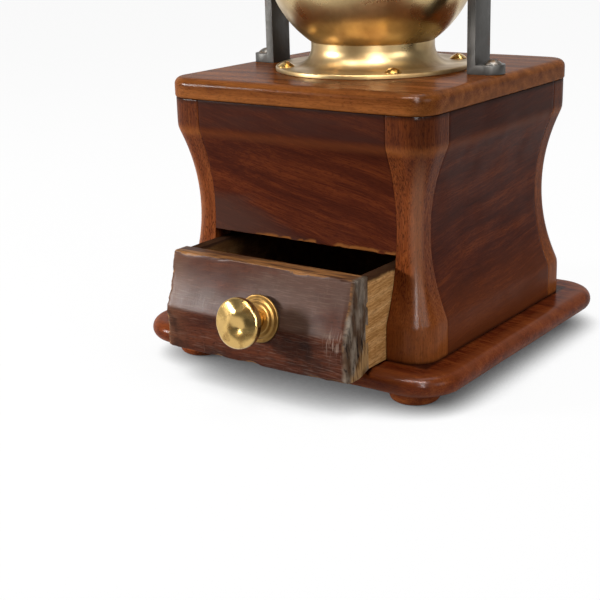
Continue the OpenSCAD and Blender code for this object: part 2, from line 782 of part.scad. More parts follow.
module adjusting_screw() color("#a8843c") difference() {
    union() {
        translate([0, 0, wheel_top - wheel_t])
            cylinder(r = adjust_r, h = screw_tip_z - wheel_top + wheel_t, $fn = round_fn);
        translate([0, 0, wheel_top - wheel_t]) rotate_extrude($fn = round_fn)
            rounded_section(wheel_r, wheel_t, 0.8, 0.8);
    }
    for (i = [0:wheel_notches - 1]) rotate([0, 0, i * 360 / wheel_notches])
        translate([wheel_r + 0.5, 0, wheel_top - wheel_t - 1])
            cylinder(r = 1.1, h = wheel_t + 2, $fn = 24);
    translate([0, 0, ball_z]) sphere(r = ball_r + run, $fn = round_fn);
}

// ---- Spindle and crank ----

module spindle() color("#8d8d90") difference() {
    union() {
        translate([0, 0, spindle_z]) cylinder(r = spindle_r, h = crank_z - spindle_z, $fn = round_fn);
        intersection() {
            translate([-square_w / 2, -square_w / 2, crank_z - 1])
                cube([square_w, square_w, crank_hub_h + 1 - play]);
            translate([0, 0, crank_z - 1]) cylinder(r = spindle_r, h = crank_hub_h + 1, $fn = round_fn);
        }
        translate([0, 0, crank_z])
            cylinder(r = tip_r, h = crank_hub_h + 1 + nut_h, $fn = round_fn);
    }
    translate([0, 0, ball_z]) sphere(r = ball_r + run, $fn = round_fn);
    cross_pin(fit);
}

// The arm's side view: hub, two arcs that lift it, and the boss under the handle
module arm_section() {
    y0 = crank_hub_r;
    y1 = crank_reach - boss_r;
    half = (y1 - y0) / 2;
    r = (half * half + crank_rise * crank_rise / 4) / crank_rise;
    translate([-crank_hub_r, 0]) square([crank_hub_r + y0, crank_t]);
    translate([y1, crank_rise]) square([2 * boss_r, crank_t]);
    intersection() {
        translate([y0, r + crank_t / 2]) ring2d(r + crank_t / 2, r - crank_t / 2);
        translate([y0, -1]) square([half, crank_rise + crank_t + 2]);
    }
    intersection() {
        translate([y1, crank_rise + crank_t / 2 - r]) ring2d(r + crank_t / 2, r - crank_t / 2);
        translate([y0 + half, -1]) square([half, crank_rise + crank_t + 2]);
    }
}

module ring2d(big, small) difference() {
    circle(r = big, $fn = 4 * cove_fn);
    circle(r = small, $fn = 4 * cove_fn);
}

// Turns its child from an arm that points straight back to the crank's own direction
module crank_turned() rotate([0, 0, crank_angle]) children();

module crank_arm() color("#3c3c3e") crank_turned() difference() {
    union() {
        intersection() {
            translate([-crank_hub_r - 1, 0, crank_z]) rotate([90, 0, 90])
                linear_extrude(2 * crank_hub_r + 2) arm_section();
            translate([0, 0, crank_z - 1]) linear_extrude(crank_rise + crank_t + 2) union() {
                circle(r = crank_hub_r, $fn = round_fn);
                translate([0, crank_reach]) circle(r = boss_r, $fn = round_fn);
                polygon([[-arm_w1 / 2, 0], [arm_w1 / 2, 0], [arm_w2 / 2, crank_reach],
                    [-arm_w2 / 2, crank_reach]]);
            }
        }
        translate([0, 0, crank_z]) cylinder(r = crank_hub_r, h = crank_hub_h, $fn = round_fn);
    }
    rotate([0, 0, -crank_angle])
        translate([-square_w / 2 - fit, -square_w / 2 - fit, crank_z - 1])
            cube([square_w + 2 * fit, square_w + 2 * fit, crank_hub_h + 2]);
    translate([0, crank_reach, crank_z])
        cylinder(r = handle_pin_r + fit, h = crank_rise + crank_t + 1, $fn = round_fn);
}

module crank_washer() color("#b08a4a") translate([0, 0, crank_z + crank_hub_h]) difference() {
    cylinder(r = nut_w / 2 + 1.4, h = 1, $fn = round_fn);
    translate([0, 0, -1]) cylinder(r = tip_r + run, h = 3, $fn = round_fn);
}

// A six-sided nut with a domed cap
module crank_nut() color("#c79a3c") translate([0, 0, crank_z + crank_hub_h + 1]) difference() {
    union() {
        cylinder(d = nut_w / cos(30), h = nut_h, $fn = 6);
        intersection() {
            cylinder(r = nut_w / 2 - 0.3, h = nut_h + 4, $fn = round_fn);
            translate([0, 0, nut_h + 4 - nut_w * 0.6]) sphere(r = nut_w * 0.6, $fn = round_fn);
        }
    }
    translate([0, 0, -1]) cylinder(r = tip_r + fit, h = nut_h + 1.5, $fn = round_fn);
}

module handle_pin() color("#8d8d90") crank_turned() translate([0, crank_reach, 0]) {
    top = handle_z + handle_h - recess_h + play;
    translate([0, 0, boss_z - 0.2]) cylinder(r = handle_pin_r, h = top - boss_z + 0.4, $fn = round_fn);
    translate([0, 0, top]) rivet_head();
    translate([0, 0, boss_z]) mirror([0, 0, 1]) rivet_head();
}

module rivet_head() rotate_extrude($fn = round_fn) intersection() {
    square([pin_head_r, pin_head_t]);
    translate([0, pin_head_t - pin_head_r * 1.3]) circle(r = pin_head_r * 1.3, $fn = round_fn);
}

// Turned handle: a foot inside the ferrule, a hollow neck and a round belly
module handle_knob() color("#6d3518") crank_turned() translate([0, crank_reach, handle_z]) {
    hollow_r = 6;
    hollow_z = ferrule_h + 4.4;
    rotate_extrude($fn = round_fn) difference() {
        union() {
            intersection() {
                translate([0, handle_h - handle_r + 0.5]) circle(r = handle_r, $fn = round_fn);
                square([handle_r, handle_h]);
            }
            difference() {
                square([handle_foot_r + ferrule_t + 0.6, handle_h - handle_r * 1.55]);
                translate([handle_neck_r + hollow_r, hollow_z]) circle(r = hollow_r, $fn = round_fn);
                translate([handle_foot_r, -1]) square([ferrule_t + 2, ferrule_h + 1]);
            }
        }
        translate([0, -1]) square([handle_pin_r + run, handle_h + 2]);
        translate([0, handle_h - recess_h]) square([pin_head_r + play, recess_h + 1]);
    }
}

module handle_ferrule() color("#c79a3c") crank_turned()
    translate([0, crank_reach, handle_z]) difference() {
        cylinder(r = handle_foot_r + fit + ferrule_t, h = ferrule_h - fit, $fn = round_fn);
        translate([0, 0, -1]) cylinder(r = handle_foot_r + fit, h = ferrule_h + 2, $fn = round_fn);
    }

// ---- Drawer ----

// Moves its child from the closed drawer to where the drawer stands
module drawn_out() translate([0, -drawer_out, 0]) children();

module at_brads()
    for (s = [-1, 1], f = brad_levels)
        translate([s * drawer_half, drawer_end_y - side_t / 2,
            bottom_z + bottom_t + f * (side_top - back_step - bottom_z - bottom_t)])
            rotate([0, s * 90, 0]) children();

module brad(extra = 0) {
    translate([0, 0, -brad_l - extra]) cylinder(r = brad_r + extra, h = brad_l + extra, $fn = 24);
    translate([0, 0, -brad_head_t - extra])
        cylinder(r = brad_head_r + extra, h = brad_head_t + 2 * extra, $fn = 24);
}

// The bottom board's outline, or with extra room the grooves that it slides in
module bottom_form(extra)
    translate([-drawer_half + side_t - groove_d - extra, front_back_y - groove_d - extra,
        bottom_z - extra])
        cube([2 * (drawer_half - side_t + groove_d + extra),
            drawer_end_y - front_back_y + groove_d + extra, bottom_t + 2 * extra]);

// The tongue on the front end of a side, or with extra room its groove
module side_tongue(s, extra)
    translate([s > 0 ? drawer_half - side_t - extra : -drawer_half + side_t / 2 - extra,
        front_back_y - groove_d - extra, drawer_z - extra])
        cube([side_t / 2 + 2 * extra, groove_d + 2 * extra, side_top - 4 - drawer_z + 2 * extra]);

// The knob's place: its seat cuts the crease, and the knob leans up a little
module at_knob()
    translate([knob_x, face_y + seat_depth + (knob_h - plinth_h) * tan(knob_lean), knob_z])
        rotate([90 - knob_lean, 0, 0]) children();

module drawer_front() color("#5b3226") drawn_out() difference() {
    union() {
        intersection() {
            box_form();
            translate([-drawer_half, face_y, drawer_z])
                cube([2 * drawer_half, front_t, drawer_h - slide_gap]);
        }
        translate([-drawer_half, face_y, drawer_z]) rotate([90, 0, 90])
            linear_extrude(2 * drawer_half) polygon([
                [0, -front_drop], [lip_t, -front_drop], [front_t, 0], [front_t, 1], [0, 1]
            ]);
    }
    bottom_form(glue);
    for (s = [-1, 1]) side_tongue(s, glue);
    at_knob() cylinder(r = rosette_r + glue, h = knob_out, $fn = round_fn);
    at_knob() translate([0, 0, -knob_screw_grip - 0.5])
        cylinder(r = knob_screw_r + fit, h = knob_screw_grip + 1, $fn = round_fn);
}

module drawer_side(s) color("#b58248") drawn_out() difference() {
    union() {
        translate([s > 0 ? drawer_half - side_t : -drawer_half, front_back_y, drawer_z])
            cube([side_t, drawer_end_y - front_back_y, side_top - drawer_z]);
        side_tongue(s, 0);
    }
    bottom_form(glue);
    at_brads() brad(fit);
}

module drawer_left_side() drawer_side(-1);

module drawer_right_side() drawer_side(1);

module drawer_back() color("#a87a45") drawn_out() difference() {
    translate([-drawer_half + side_t, drawer_end_y - side_t, bottom_z + bottom_t])
        cube([2 * (drawer_half - side_t), side_t, side_top - back_step - bottom_z - bottom_t]);
    at_brads() brad(fit);
}

module drawer_bottom() color("#9a7040") drawn_out() bottom_form(0);

module drawer_brads() color("#6f6a64") drawn_out() at_brads() brad();

module knob_rosette() color("#c0913a") drawn_out() at_knob() rotate_extrude($fn = round_fn)
    difference() {
        union() {
            rounded_section(rosette_r, rosette_t * 0.5, 0.2, 0.5);
            rounded_section(rosette_r - 1.8, rosette_t * 0.8, 0.2, 0.4);
            rounded_section(rosette_r - 3.6, rosette_t, 0.2, 0.4);
        }
        translate([0, -1]) square([neck_r + fit, rosette_t + 2]);
    }

module drawer_knob() color("#c79a3c") drawn_out() at_knob() difference() {
    rim = knob_rim_t / 2;
    mid = knob_out - knob_crown - rim;
    crown_w = knob_r - rim;
    crown_r = (crown_w * crown_w + knob_crown * knob_crown) / (2 * knob_crown);
    rotate_extrude($fn = round_fn) {
        square([neck_r, mid]);
        translate([0, mid - rim]) square([knob_r - rim, knob_rim_t]);
        translate([knob_r - rim, mid]) circle(r = rim, $fn = round_fn);
        intersection() {
            translate([0, knob_out - crown_r]) circle(r = crown_r, $fn = cove_fn);
            translate([0, mid]) square([crown_w, knob_out]);
        }
        intersection() {
            translate([0, mid - rim]) square([neck_r + 2.5, 2 * rim]);
            square([neck_r + 2, mid]);
        }
    }
    translate([0, 0, -1])
        cylinder(r = knob_screw_r + fit, h = knob_screw_bite + 1 + play, $fn = round_fn);
}

// Hanger screw: its pointed end is screwed into the drawer front, its other end into the knob
module knob_screw() color("#8a7a50") drawn_out() at_knob() {
    tip = 2 * knob_screw_r;
    translate([0, 0, tip - knob_screw_grip])
        cylinder(r = knob_screw_r, h = knob_screw_grip - tip + knob_screw_bite, $fn = round_fn);
    translate([0, 0, -knob_screw_grip])
        cylinder(r1 = 0.3, r2 = knob_screw_r, h = tip, $fn = round_fn);
}

base_plate();
foot(-1, -1);  // foot_front_left
foot(1, -1);  // foot_front_right
foot(-1, 1);  // foot_back_left
foot(1, 1);  // foot_back_right
foot_screws();
base_screws();
post(-1, -1);  // post_front_left
post(1, -1);  // post_front_right
post(-1, 1);  // post_back_left
post(1, 1);  // post_back_right
front_panel();
left_panel();
right_panel();
back_panel();
top_board();
hopper_bowl();
hopper_screws();
bridge();
bridge_screws();
top_bearing();
mill_housing();
housing_screws();
burr_ring();
lower_yoke();
yoke_screws();
friction_spring();
thrust_ball();
adjusting_screw();
spindle();
burr_cone();
burr_pin();
crank_arm();
crank_washer();
crank_nut();
handle_pin();
handle_knob();
handle_ferrule();
drawer_front();
drawer_left_side();
drawer_right_side();
drawer_back();
drawer_bottom();
drawer_brads();
knob_rosette();
drawer_knob();
knob_screw();
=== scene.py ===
import functools
import math
import bpy
import bmesh
import numpy as np
from mathutils import Matrix, Vector, noise


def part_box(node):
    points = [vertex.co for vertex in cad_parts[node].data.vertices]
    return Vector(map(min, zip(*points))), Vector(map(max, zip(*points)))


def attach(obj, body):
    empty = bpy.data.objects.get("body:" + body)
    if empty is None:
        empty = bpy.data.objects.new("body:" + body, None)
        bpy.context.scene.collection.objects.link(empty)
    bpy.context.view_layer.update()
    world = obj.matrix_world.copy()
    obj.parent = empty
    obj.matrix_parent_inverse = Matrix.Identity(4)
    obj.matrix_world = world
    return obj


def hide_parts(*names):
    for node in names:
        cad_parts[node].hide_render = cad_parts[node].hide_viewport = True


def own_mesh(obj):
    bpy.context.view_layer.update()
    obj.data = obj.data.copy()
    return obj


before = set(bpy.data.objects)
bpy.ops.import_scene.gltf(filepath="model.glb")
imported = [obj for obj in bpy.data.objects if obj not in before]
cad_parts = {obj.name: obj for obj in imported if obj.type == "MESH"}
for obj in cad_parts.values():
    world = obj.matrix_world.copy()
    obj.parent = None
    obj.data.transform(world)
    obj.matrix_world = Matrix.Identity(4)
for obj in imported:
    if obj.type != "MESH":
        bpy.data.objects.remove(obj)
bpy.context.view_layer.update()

# ---- Camera, light and floor ----
# The mill stands on white paper, lit from low at the left front, with weaker softboxes over it
# and at its right. Two strips, seen only as gleams, draw the long highlights on the polish.
MM = 0.001
CAMERA_PLACE = Vector((280.606, -434.958, 179.113)) * MM
CAMERA_YAW, CAMERA_PITCH, CAMERA_ROLL = -0.636, 0.3045, -0.0300
FOCAL_PX, FRAME_PX, SENSOR_MM = 1257.8, 600, 36.0
scene = bpy.context.scene
scene.view_settings.view_transform = "Standard"


def hex_colour(code):
    """Linear RGBA from an sRGB hex string."""
    parts = [int(code[i:i + 2], 16) / 255 for i in (1, 3, 5)]
    return *(c / 12.92 if c <= 0.04045 else ((c + 0.055) / 1.055) ** 2.4 for c in parts), 1.0


MODES = {"Math": "operation", "VectorMath": "operation", "MapRange": "interpolation_type",
         "Mix": "data_type"}


def add(tree, kind, *values, **named):
    """Adds a node of a kind, whose second word is its mode. Values fill its live inputs in
    order, a capitalised name fills that input, and another name is a setting. A value is a
    number, a hex colour, a socket, or a node, which stands for its first live output."""
    kind, _, mode = kind.partition(" ")
    node = tree.nodes.new(kind if "Node" in kind else "ShaderNode" + kind)
    settings = {name: value for name, value in named.items() if name[0].islower()}
    if mode:
        settings[MODES[kind]] = mode
    for name, value in settings.items():
        setattr(node, name, value)
    filled = list(zip([socket for socket in node.inputs if socket.enabled], values))
    filled += [(node.inputs[name.replace("_", " ")], named[name]) for name in named
               if name not in settings]
    for socket, value in filled:
        if isinstance(value, bpy.types.Node):
            value = next(output for output in value.outputs if output.enabled)
        if isinstance(value, bpy.types.NodeSocket):
            tree.links.new(value, socket)
        else:
            socket.default_value = hex_colour(value) if str(value).startswith("#") else value
    return node


def into(tree):
    """Empties a node tree and gives the function that adds nodes to it."""
    tree.nodes.clear()
    return functools.partial(add, tree)


def new_material(name):
    """An empty material, and the function that adds nodes to its tree."""
    material = bpy.data.materials.new(name)
    material.use_nodes = True
    return material, into(material.node_tree)


def softbox(name, place, aim, size, power, gleam_only=False):
    """A rectangular area light, aimed at a point. Places and sizes in metres, power in watts.
    A gleam-only one shows in polished surfaces and adds no other light."""
    data = bpy.data.lights.new(name, "AREA")
    data.shape = "RECTANGLE"
    data.size, data.size_y = size
    data.energy = power
    lamp = bpy.data.objects.new(name, data)
    scene.collection.objects.link(lamp)
    lamp.location = place
    lamp.rotation_euler = (Vector(aim) - Vector(place)).to_track_quat("-Z", "Y").to_euler()
    lamp.visible_diffuse = not gleam_only


def sight_rays(put):
    """Light Path's outputs, and 1 for what is seen directly, in a gloss or through glass."""
    rays = put("LightPath").outputs
    seen = put("Math MAXIMUM", rays["Is Camera Ray"], rays["Is Transmission Ray"])
    return (rays, put("Math MAXIMUM", seen, rays["Is Glossy Ray"]))


cam_data = bpy.data.cameras.new("camera")
cam_data.sensor_width = SENSOR_MM
cam_data.lens = FOCAL_PX * SENSOR_MM / FRAME_PX
cam_data.clip_start = 0.01
camera = bpy.data.objects.new("camera", cam_data)
scene.collection.objects.link(camera)
ahead = Vector((math.sin(CAMERA_YAW) * math.cos(CAMERA_PITCH),
                math.cos(CAMERA_YAW) * math.cos(CAMERA_PITCH), -math.sin(CAMERA_PITCH)))
level = Vector((math.cos(CAMERA_YAW), -math.sin(CAMERA_YAW), 0))
upright = level.cross(ahead)
across = math.cos(CAMERA_ROLL) * level + math.sin(CAMERA_ROLL) * upright
upward = -math.sin(CAMERA_ROLL) * level + math.cos(CAMERA_ROLL) * upright
camera.matrix_world = Matrix.Translation(CAMERA_PLACE) @ Matrix(
    (across, upward, -ahead)).transposed().to_4x4()
scene.camera = camera

softbox("main_softbox", (-0.76, -0.72, 0.32), (0, 0, 0.05), (0.22, 0.22), 12.5)
softbox("top_softbox", (0.05, 0.1, 1.0), (0, 0, 0.06), (0.5, 0.5), 5.0)
softbox("side_softbox", (1.05, -0.22, 0.46), (0, 0, 0.06), (0.5, 0.5), 4.5)
softbox("window_strip", (0.66, -0.86, 0.76), (0.03, -0.03, 0.06), (0.11, 1.4), 32.0, True)
softbox("ceiling_strip", (0.10, -0.55, 1.0), (0, 0, 0.06), (0.9, 0.14), 26.0, True)

world = bpy.data.worlds.new("studio_white")
scene.world = world
world.use_nodes = True
put = into(world.node_tree)
rays, seen = sight_rays(put)
looking = put("TexCoord").outputs["Generated"]
behind = put("VectorMath DOT_PRODUCT", looking, ahead)
backdrop = put("MapRange", behind, -0.2, 0.75, 0.1, 1.0)
height = put("SeparateXYZ", looking).outputs[2]
room = put("MapRange", height, -0.2, 0.9, 0.05, 0.18)
dim_sky = put("Background", "#ffffff", room)
backdrop = put("Math MAXIMUM", backdrop, rays["Is Camera Ray"])
white_sky = put("Background", "#ffffff", backdrop)
sky = put("MixShader", seen, dim_sky, white_sky)
put("OutputWorld", sky)

# Matt white paper, as bright as the background. Its soft shadow is painted into its glow by an
# occlusion test that leans towards the left front. In a gloss it fades towards the camera: painted
# shade that keeps the white paper out of the reflections in the polish.
FLOOR_M, FLOOR_DROP_M = 12, 0.0002
bpy.ops.mesh.primitive_plane_add(size=FLOOR_M, location=(0, 0, -FLOOR_DROP_M))
floor = bpy.context.object
floor.name = "floor"
paper, put = new_material("white_paper_sweep")
rays, seen = sight_rays(put)
dull_sheet = put("BsdfDiffuse", "#b4b0ac")
sheet = put("BsdfDiffuse", "#fafafa")
to_window = put("CombineXYZ", -0.21, -0.25, 0.945)
# Painted shadow: the paper's glow is darkened by an occlusion test, not by the lamps.
nearness = put("AmbientOcclusion", Distance=0.045, Normal=to_window, samples=16)
open_floor = put("MapRange", nearness.outputs["AO"], 0.11, 0.70, 0.05, 1.03)
place = put("NewGeometry").outputs["Position"]
nearer = put("VectorMath DOT_PRODUCT", place, (-ahead.x, -ahead.y, 0))
# Painted shade in glosses: in front of the object the paper is darkened where the polish reflects
# it.
gloss_shade_band = put("MapRange", nearer, 0.12, 0.34, 0.0, 0.85)
painted_gloss_shade = put("Math MULTIPLY", gloss_shade_band, rays["Is Glossy Ray"])
glow = put("Emission", "#ffffff", put("Math SUBTRACT", open_floor, painted_gloss_shade, use_clamp=True))
lit = put("MixShader", 0.94, sheet, glow)
shown = put("MixShader", seen, dull_sheet, lit)
put("OutputMaterial", shown)
floor.data.materials.append(paper)

# ---- Base board ----
# One board of red-brown stained hardwood with a half-round nose worked along its four edges,
# oiled and rubbed to a gloss. Six countersunk screws hold it to the box from below.
BASE_CORNER_R = 18.0
BOX_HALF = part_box("post_front_right")[1][0] / MM
REBATE_X, REBATE_Y, REBATE_DEPTH = 43.2, -45.3, 2.0


def span(node):
    """A CAD node's lowest and highest corner, in millimetres."""
    low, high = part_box(node)
    return np.array(low) / MM, np.array(high) / MM


def face_out(mesh):
    """Turns all faces of a closed mesh outwards."""
    work = bmesh.new()
    work.from_mesh(mesh)
    bmesh.ops.recalc_face_normals(work, faces=work.faces)
    work.to_mesh(mesh)


def as_piece(name, mesh):
    """Puts a mesh in the scene as a smooth object."""
    mesh.shade_smooth()
    piece = bpy.data.objects.new(name, mesh)
    scene.collection.objects.link(piece)
    return piece


def lines(low, high, step, ease=0.0):
    """Places for a block's lattice lines, crowded where its edges are eased."""
    inside = np.linspace(low + ease, high - ease, max(2, round((high - low) / step) + 1))
    corner = np.array([0.0, 0.15, 0.4]) * ease if ease else np.array([])
    return np.concatenate([low + corner, inside, high - corner[::-1]])


def lattice(low, high, steps, ease):
    """A block's lattice lines along x, y and z."""
    return [lines(*ends, ease) for ends in zip(low, high, steps)]


def block(name, lattice_lines, shape, ease=0.0, chips=None, bite=0.0):
    """A closed block drawn as a lattice over its six sides. The edges are eased to a radius and
    chipped, and shape then moves the points, all in mm. Each point keeps how far it lay from the
    nearest edge and how deep it is chipped, for the wear in the material."""
    index, points, faces = {}, [], []
    last = [len(places) - 1 for places in lattice_lines]

    def at(i, j, k):
        if (i, j, k) not in index:
            index[i, j, k] = len(points)
            points.append([places[n] for places, n in zip(lattice_lines, (i, j, k))])
        return index[i, j, k]

    def side(count_a, count_b, corner):
        for a in range(count_a):
            for b in range(count_b):
                faces.append([at(*corner(a, b)), at(*corner(a + 1, b)),
                              at(*corner(a + 1, b + 1)), at(*corner(a, b + 1))])

    side(last[1], last[0], lambda a, b: (b, a, 0))
    side(last[0], last[1], lambda a, b: (a, b, last[2]))
    side(last[2], last[1], lambda a, b: (0, b, a))
    side(last[1], last[2], lambda a, b: (last[0], a, b))
    side(last[0], last[2], lambda a, b: (a, 0, b))
    side(last[2], last[0], lambda a, b: (b, last[1], a))
    blank = np.array(points)
    low, high = blank.min(0), blank.max(0)
    gaps = np.minimum(blank - low, high - blank)
    core = np.clip(blank, low + ease, high - ease)
    out = blank - core
    length = np.maximum(np.linalg.norm(out, axis=1), 1e-9)
    places = core + out * (np.abs(out).max(axis=1) / length)[:, None]
    chipped = np.zeros(len(blank)) if chips is None else chips(blank)
    near = np.clip(1 - gaps / 3.0, 0, 1)
    inward = np.where(blank - low < high - blank, 1, -1) * near
    inward /= np.maximum(np.linalg.norm(inward, axis=1), 1e-9)[:, None]
    places = shape(places + inward * (chipped * bite)[:, None])
    mesh = bpy.data.meshes.new(name)
    mesh.from_pydata((places * MM).tolist(), [], faces)
    mesh.attributes.new("edge_mm", "FLOAT", "POINT").data.foreach_set(
        "value", np.sort(gaps, axis=1)[:, 1])
    mesh.attributes.new("chip", "FLOAT", "POINT").data.foreach_set("value", chipped)
    return as_piece(name, mesh)


def moulded(places, half, corner, inset):
    """Moves a square block's points to an outline with round corners, set in by a depth."""
    flat = half - corner
    beyond = np.maximum(np.abs(places[:, :2]) - flat, 0)
    length = np.maximum(np.linalg.norm(beyond, axis=1), 1e-9)
    factor = beyond.max(axis=1) / length * (corner - inset) / corner
    result = places.copy()
    result[:, :2] = np.sign(places[:, :2]) * (
        np.minimum(np.abs(places[:, :2]), flat) + beyond * factor[:, None])
    return result


noise.seed_set(1)  # Fixes the unevenness, which would otherwise differ from run to run.


def uneven(places, amount, size=17.0):
    """The slight waviness that scraping and sanding by hand leave."""
    return places + np.array([noise.noise_vector(Vector(p) / size) for p in places]) * amount


def lay_grain(piece, along, pith, tilt=0.0):
    """Stores each point's place in the log it was sawn from, in mm: x along the fibres, y and z
    from the heart. Tilt turns the fibres in the board's face, in degrees."""
    co = np.array([v.co for v in piece.data.vertices]) / MM
    order = {"X": (0, 1, 2), "Y": (1, 0, 2), "Z": (2, 0, 1)}[along]
    log = (co - (co.min(0) + co.max(0)) / 2)[:, order]
    c, s = math.cos(math.radians(tilt)), math.sin(math.radians(tilt))
    log[:, 0], log[:, 2] = c * log[:, 0] + s * log[:, 2], c * log[:, 2] - s * log[:, 0]
    piece.data.attributes.new("grain", "FLOAT_VECTOR", "POINT").data.foreach_set(
        "vector", (log + np.array(pith)).ravel())


def hand_over(piece, body, slot, material, *nodes):
    """Gives a piece its finish, its body and the nodes it stands for. Its slot is not used."""
    piece.data.materials.clear()
    piece.data.materials.append(material)
    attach(piece, body)
    if nodes:
        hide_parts(*nodes)


def coats(put, colour, *layers):
    """Lays colours over one another, each as far as its mask says."""
    for mask, code in layers:
        colour = put("Mix RGBA", mask, colour, code)
    return colour


# The figure's sizes: the fibres' sway, a streak, a fibre, and a pore's length and width. Real
# fibres and pores are finer, and these are drawn as coarse as they need to show.
SWAY_MM, STREAK_MM, FIBRE_MM, PORE_LONG_MM, PORE_WIDE_MM = 71.4, 3.57, 0.526, 1.82, 0.435


def every(size_mm):
    """The scale at which a pattern comes again at every so many millimetres."""
    return 1 / (size_mm * MM)


def wood_figure(put, tones, ring_mm, wander_mm, ring=0.15, streak=0.4, fibre=0.4, pore=0.5):
    """Colour and relief of sawn hardwood from its place in the log: growth rings round the
    heart, long streaks, fine fibres and short dark pores, each as strong as its number. Tones
    are dark, middle and light."""
    place = put("Attribute", attribute_name="grain").outputs["Vector"]
    sway = put("TexNoise", place, Scale=1 / SWAY_MM, Detail=1.5)
    bent = put("VectorMath MULTIPLY_ADD", sway.outputs["Color"], (wander_mm,) * 3, place)
    off_heart = put("VectorMath MULTIPLY", bent, (0.06, 1.0, 1.0))
    radius = put("VectorMath LENGTH", off_heart)
    turn = put("Math DIVIDE", radius, ring_mm)
    late = put("Math PINGPONG", turn, 1.0)
    long_streaks = put("TexNoise", off_heart, Scale=1 / STREAK_MM, Detail=4.0, Roughness=0.6)
    stretched = put("VectorMath MULTIPLY", bent, (0.05, 1.0, 1.0))
    fibres = put("TexNoise", stretched, Scale=1 / FIBRE_MM, Detail=3.0, Roughness=0.7)
    dashes = put("VectorMath DIVIDE", bent, (PORE_LONG_MM, PORE_WIDE_MM, PORE_WIDE_MM))
    cells = put("TexNoise", dashes, Scale=1.0, Detail=1.0)
    pores = put("MapRange SMOOTHSTEP", cells, 0.53, 0.68, 0, pore)
    tone = put("Math MULTIPLY_ADD", late, ring, 0.5 - ring / 2 - streak - fibre)
    tone = put("Math MULTIPLY_ADD", long_streaks, 2 * streak, tone)
    tone = put("Math MULTIPLY_ADD", fibres, 2 * fibre, tone)
    low = put("MapRange", tone, 0.15, 0.5)
    high = put("MapRange", tone, 0.5, 0.85)
    colour = coats(put, tones[0], (low, tones[1]), (high, tones[2]), (pores, tones[0]))
    relief = put("Math MULTIPLY_ADD", pores, -0.5, fibres)
    return colour, relief


def wear(put, attribute, start, end, size_mm=5.0):
    """A patchy mask from 1 where the attribute is at start to 0 at its end."""
    value = put("Attribute", attribute_name=attribute).outputs["Fac"]
    spot = put("TexCoord").outputs["Object"]
    patch = put("TexNoise", spot, Scale=every(size_mm), Detail=4.0)
    shift = put("Math MULTIPLY_ADD", patch, (end - start) * 1.6, (start - end) * 0.8)
    moved = put("Math", value, shift)
    return put("MapRange", moved, start, end, 1.0, 0.0)


def polish(put, colour, relief, rough, coat, coat_rough, relief_mm=0.03, shine=0.0):
    """The oiled and rubbed surface over a wood's colour and relief."""
    spot = put("TexCoord").outputs["Object"]
    smears = put("TexNoise", spot, Scale=every(11.1), Detail=3.0)
    gloss = put("MapRange", smears, 0.3, 0.7, rough - 0.07, rough + 0.09)
    bump = put("Bump", Height=relief, Strength=1.0, Distance=relief_mm * MM)
    shader = put("BsdfPrincipled", Base_Color=colour, Roughness=gloss, Normal=bump, IOR=1.5,
                 Specular_IOR_Level=shine, Coat_Weight=coat, Coat_IOR=1.35,
                 Coat_Roughness=coat_rough, Coat_Normal=bump)
    put("OutputMaterial", shader)


base_low, base_high = span("base_plate")
nose_r = (base_high[2] - base_low[2]) / 2
base_mid = (base_high[2] + base_low[2]) / 2


def base_form(places):
    """The nosed outline, with the rebate that the drawer front's lower lip slides in."""
    inset = nose_r - np.sqrt(np.maximum(nose_r ** 2 - (places[:, 2] - base_mid) ** 2, 0))
    lipped = (np.abs(places[:, 0]) < REBATE_X + 0.01) & (places[:, 1] < REBATE_Y + 0.01)
    nosed = np.clip(uneven(moulded(places, base_high[0], BASE_CORNER_R, inset), 0.12),
                    base_low, base_high)
    nosed[:, 2] = np.where(lipped, np.minimum(nosed[:, 2], base_high[2] - REBATE_DEPTH),
                           nosed[:, 2])
    return nosed


board_lines = lines(base_low[0], base_high[0], 1.8)
across_lines = np.sort(np.concatenate([board_lines, [-REBATE_X - 0.02, -REBATE_X, REBATE_X,
                                                     REBATE_X + 0.02]]))
deep_lines = np.sort(np.concatenate([board_lines, [REBATE_Y, REBATE_Y + 0.02]]))
nose_levels = base_mid - nose_r * np.cos(np.linspace(0, math.pi, 17))
base_board = block("base_board", (across_lines, deep_lines, nose_levels), base_form)
lay_grain(base_board, "X", (0, 6, 60))

# Stained beech under old oil polish: a deep red-brown whose fibres show as fine darker lines,
# paler and glossy along the rubbed nose.
base_wood, put = new_material("oiled_red_brown_hardwood")
colour, relief = wood_figure(put, ("#38150a", "#662a11", "#8f491e"), 3.2, 12.0, 0.2, 0.4, 0.45)
rubbed = wear(put, "edge_mm", 0.5, 5.0, 9.0)
rubbed = put("Math MULTIPLY", rubbed, 0.45)
spot = put("VectorMath ABSOLUTE", put("TexCoord").outputs["Object"])
xyz = put("SeparateXYZ", spot).outputs
out = put("Math MAXIMUM", xyz[0], xyz[1])
joint = put("MapRange", out, (BOX_HALF + 0.2) * MM, (BOX_HALF + 1.6) * MM, 0.75, 0.0)
colour = coats(put, colour, (rubbed, "#8c4b26"), (joint, "#221009"))
polish(put, colour, relief, 0.36, 0.3, 0.2)
hand_over(base_board, "case", "base_wood", base_wood, "base_plate")

# ---- Feet ----
# Four turned discs of the same stained wood. One long countersunk screw holds each: it runs
# through the base board into the corner post above.
FOOT_EDGE_R, SEAT_R, SHANK_R, SEAT_DEPTH, RECESS = 3.5, 3.42, 1.92, 2.2, 0.8


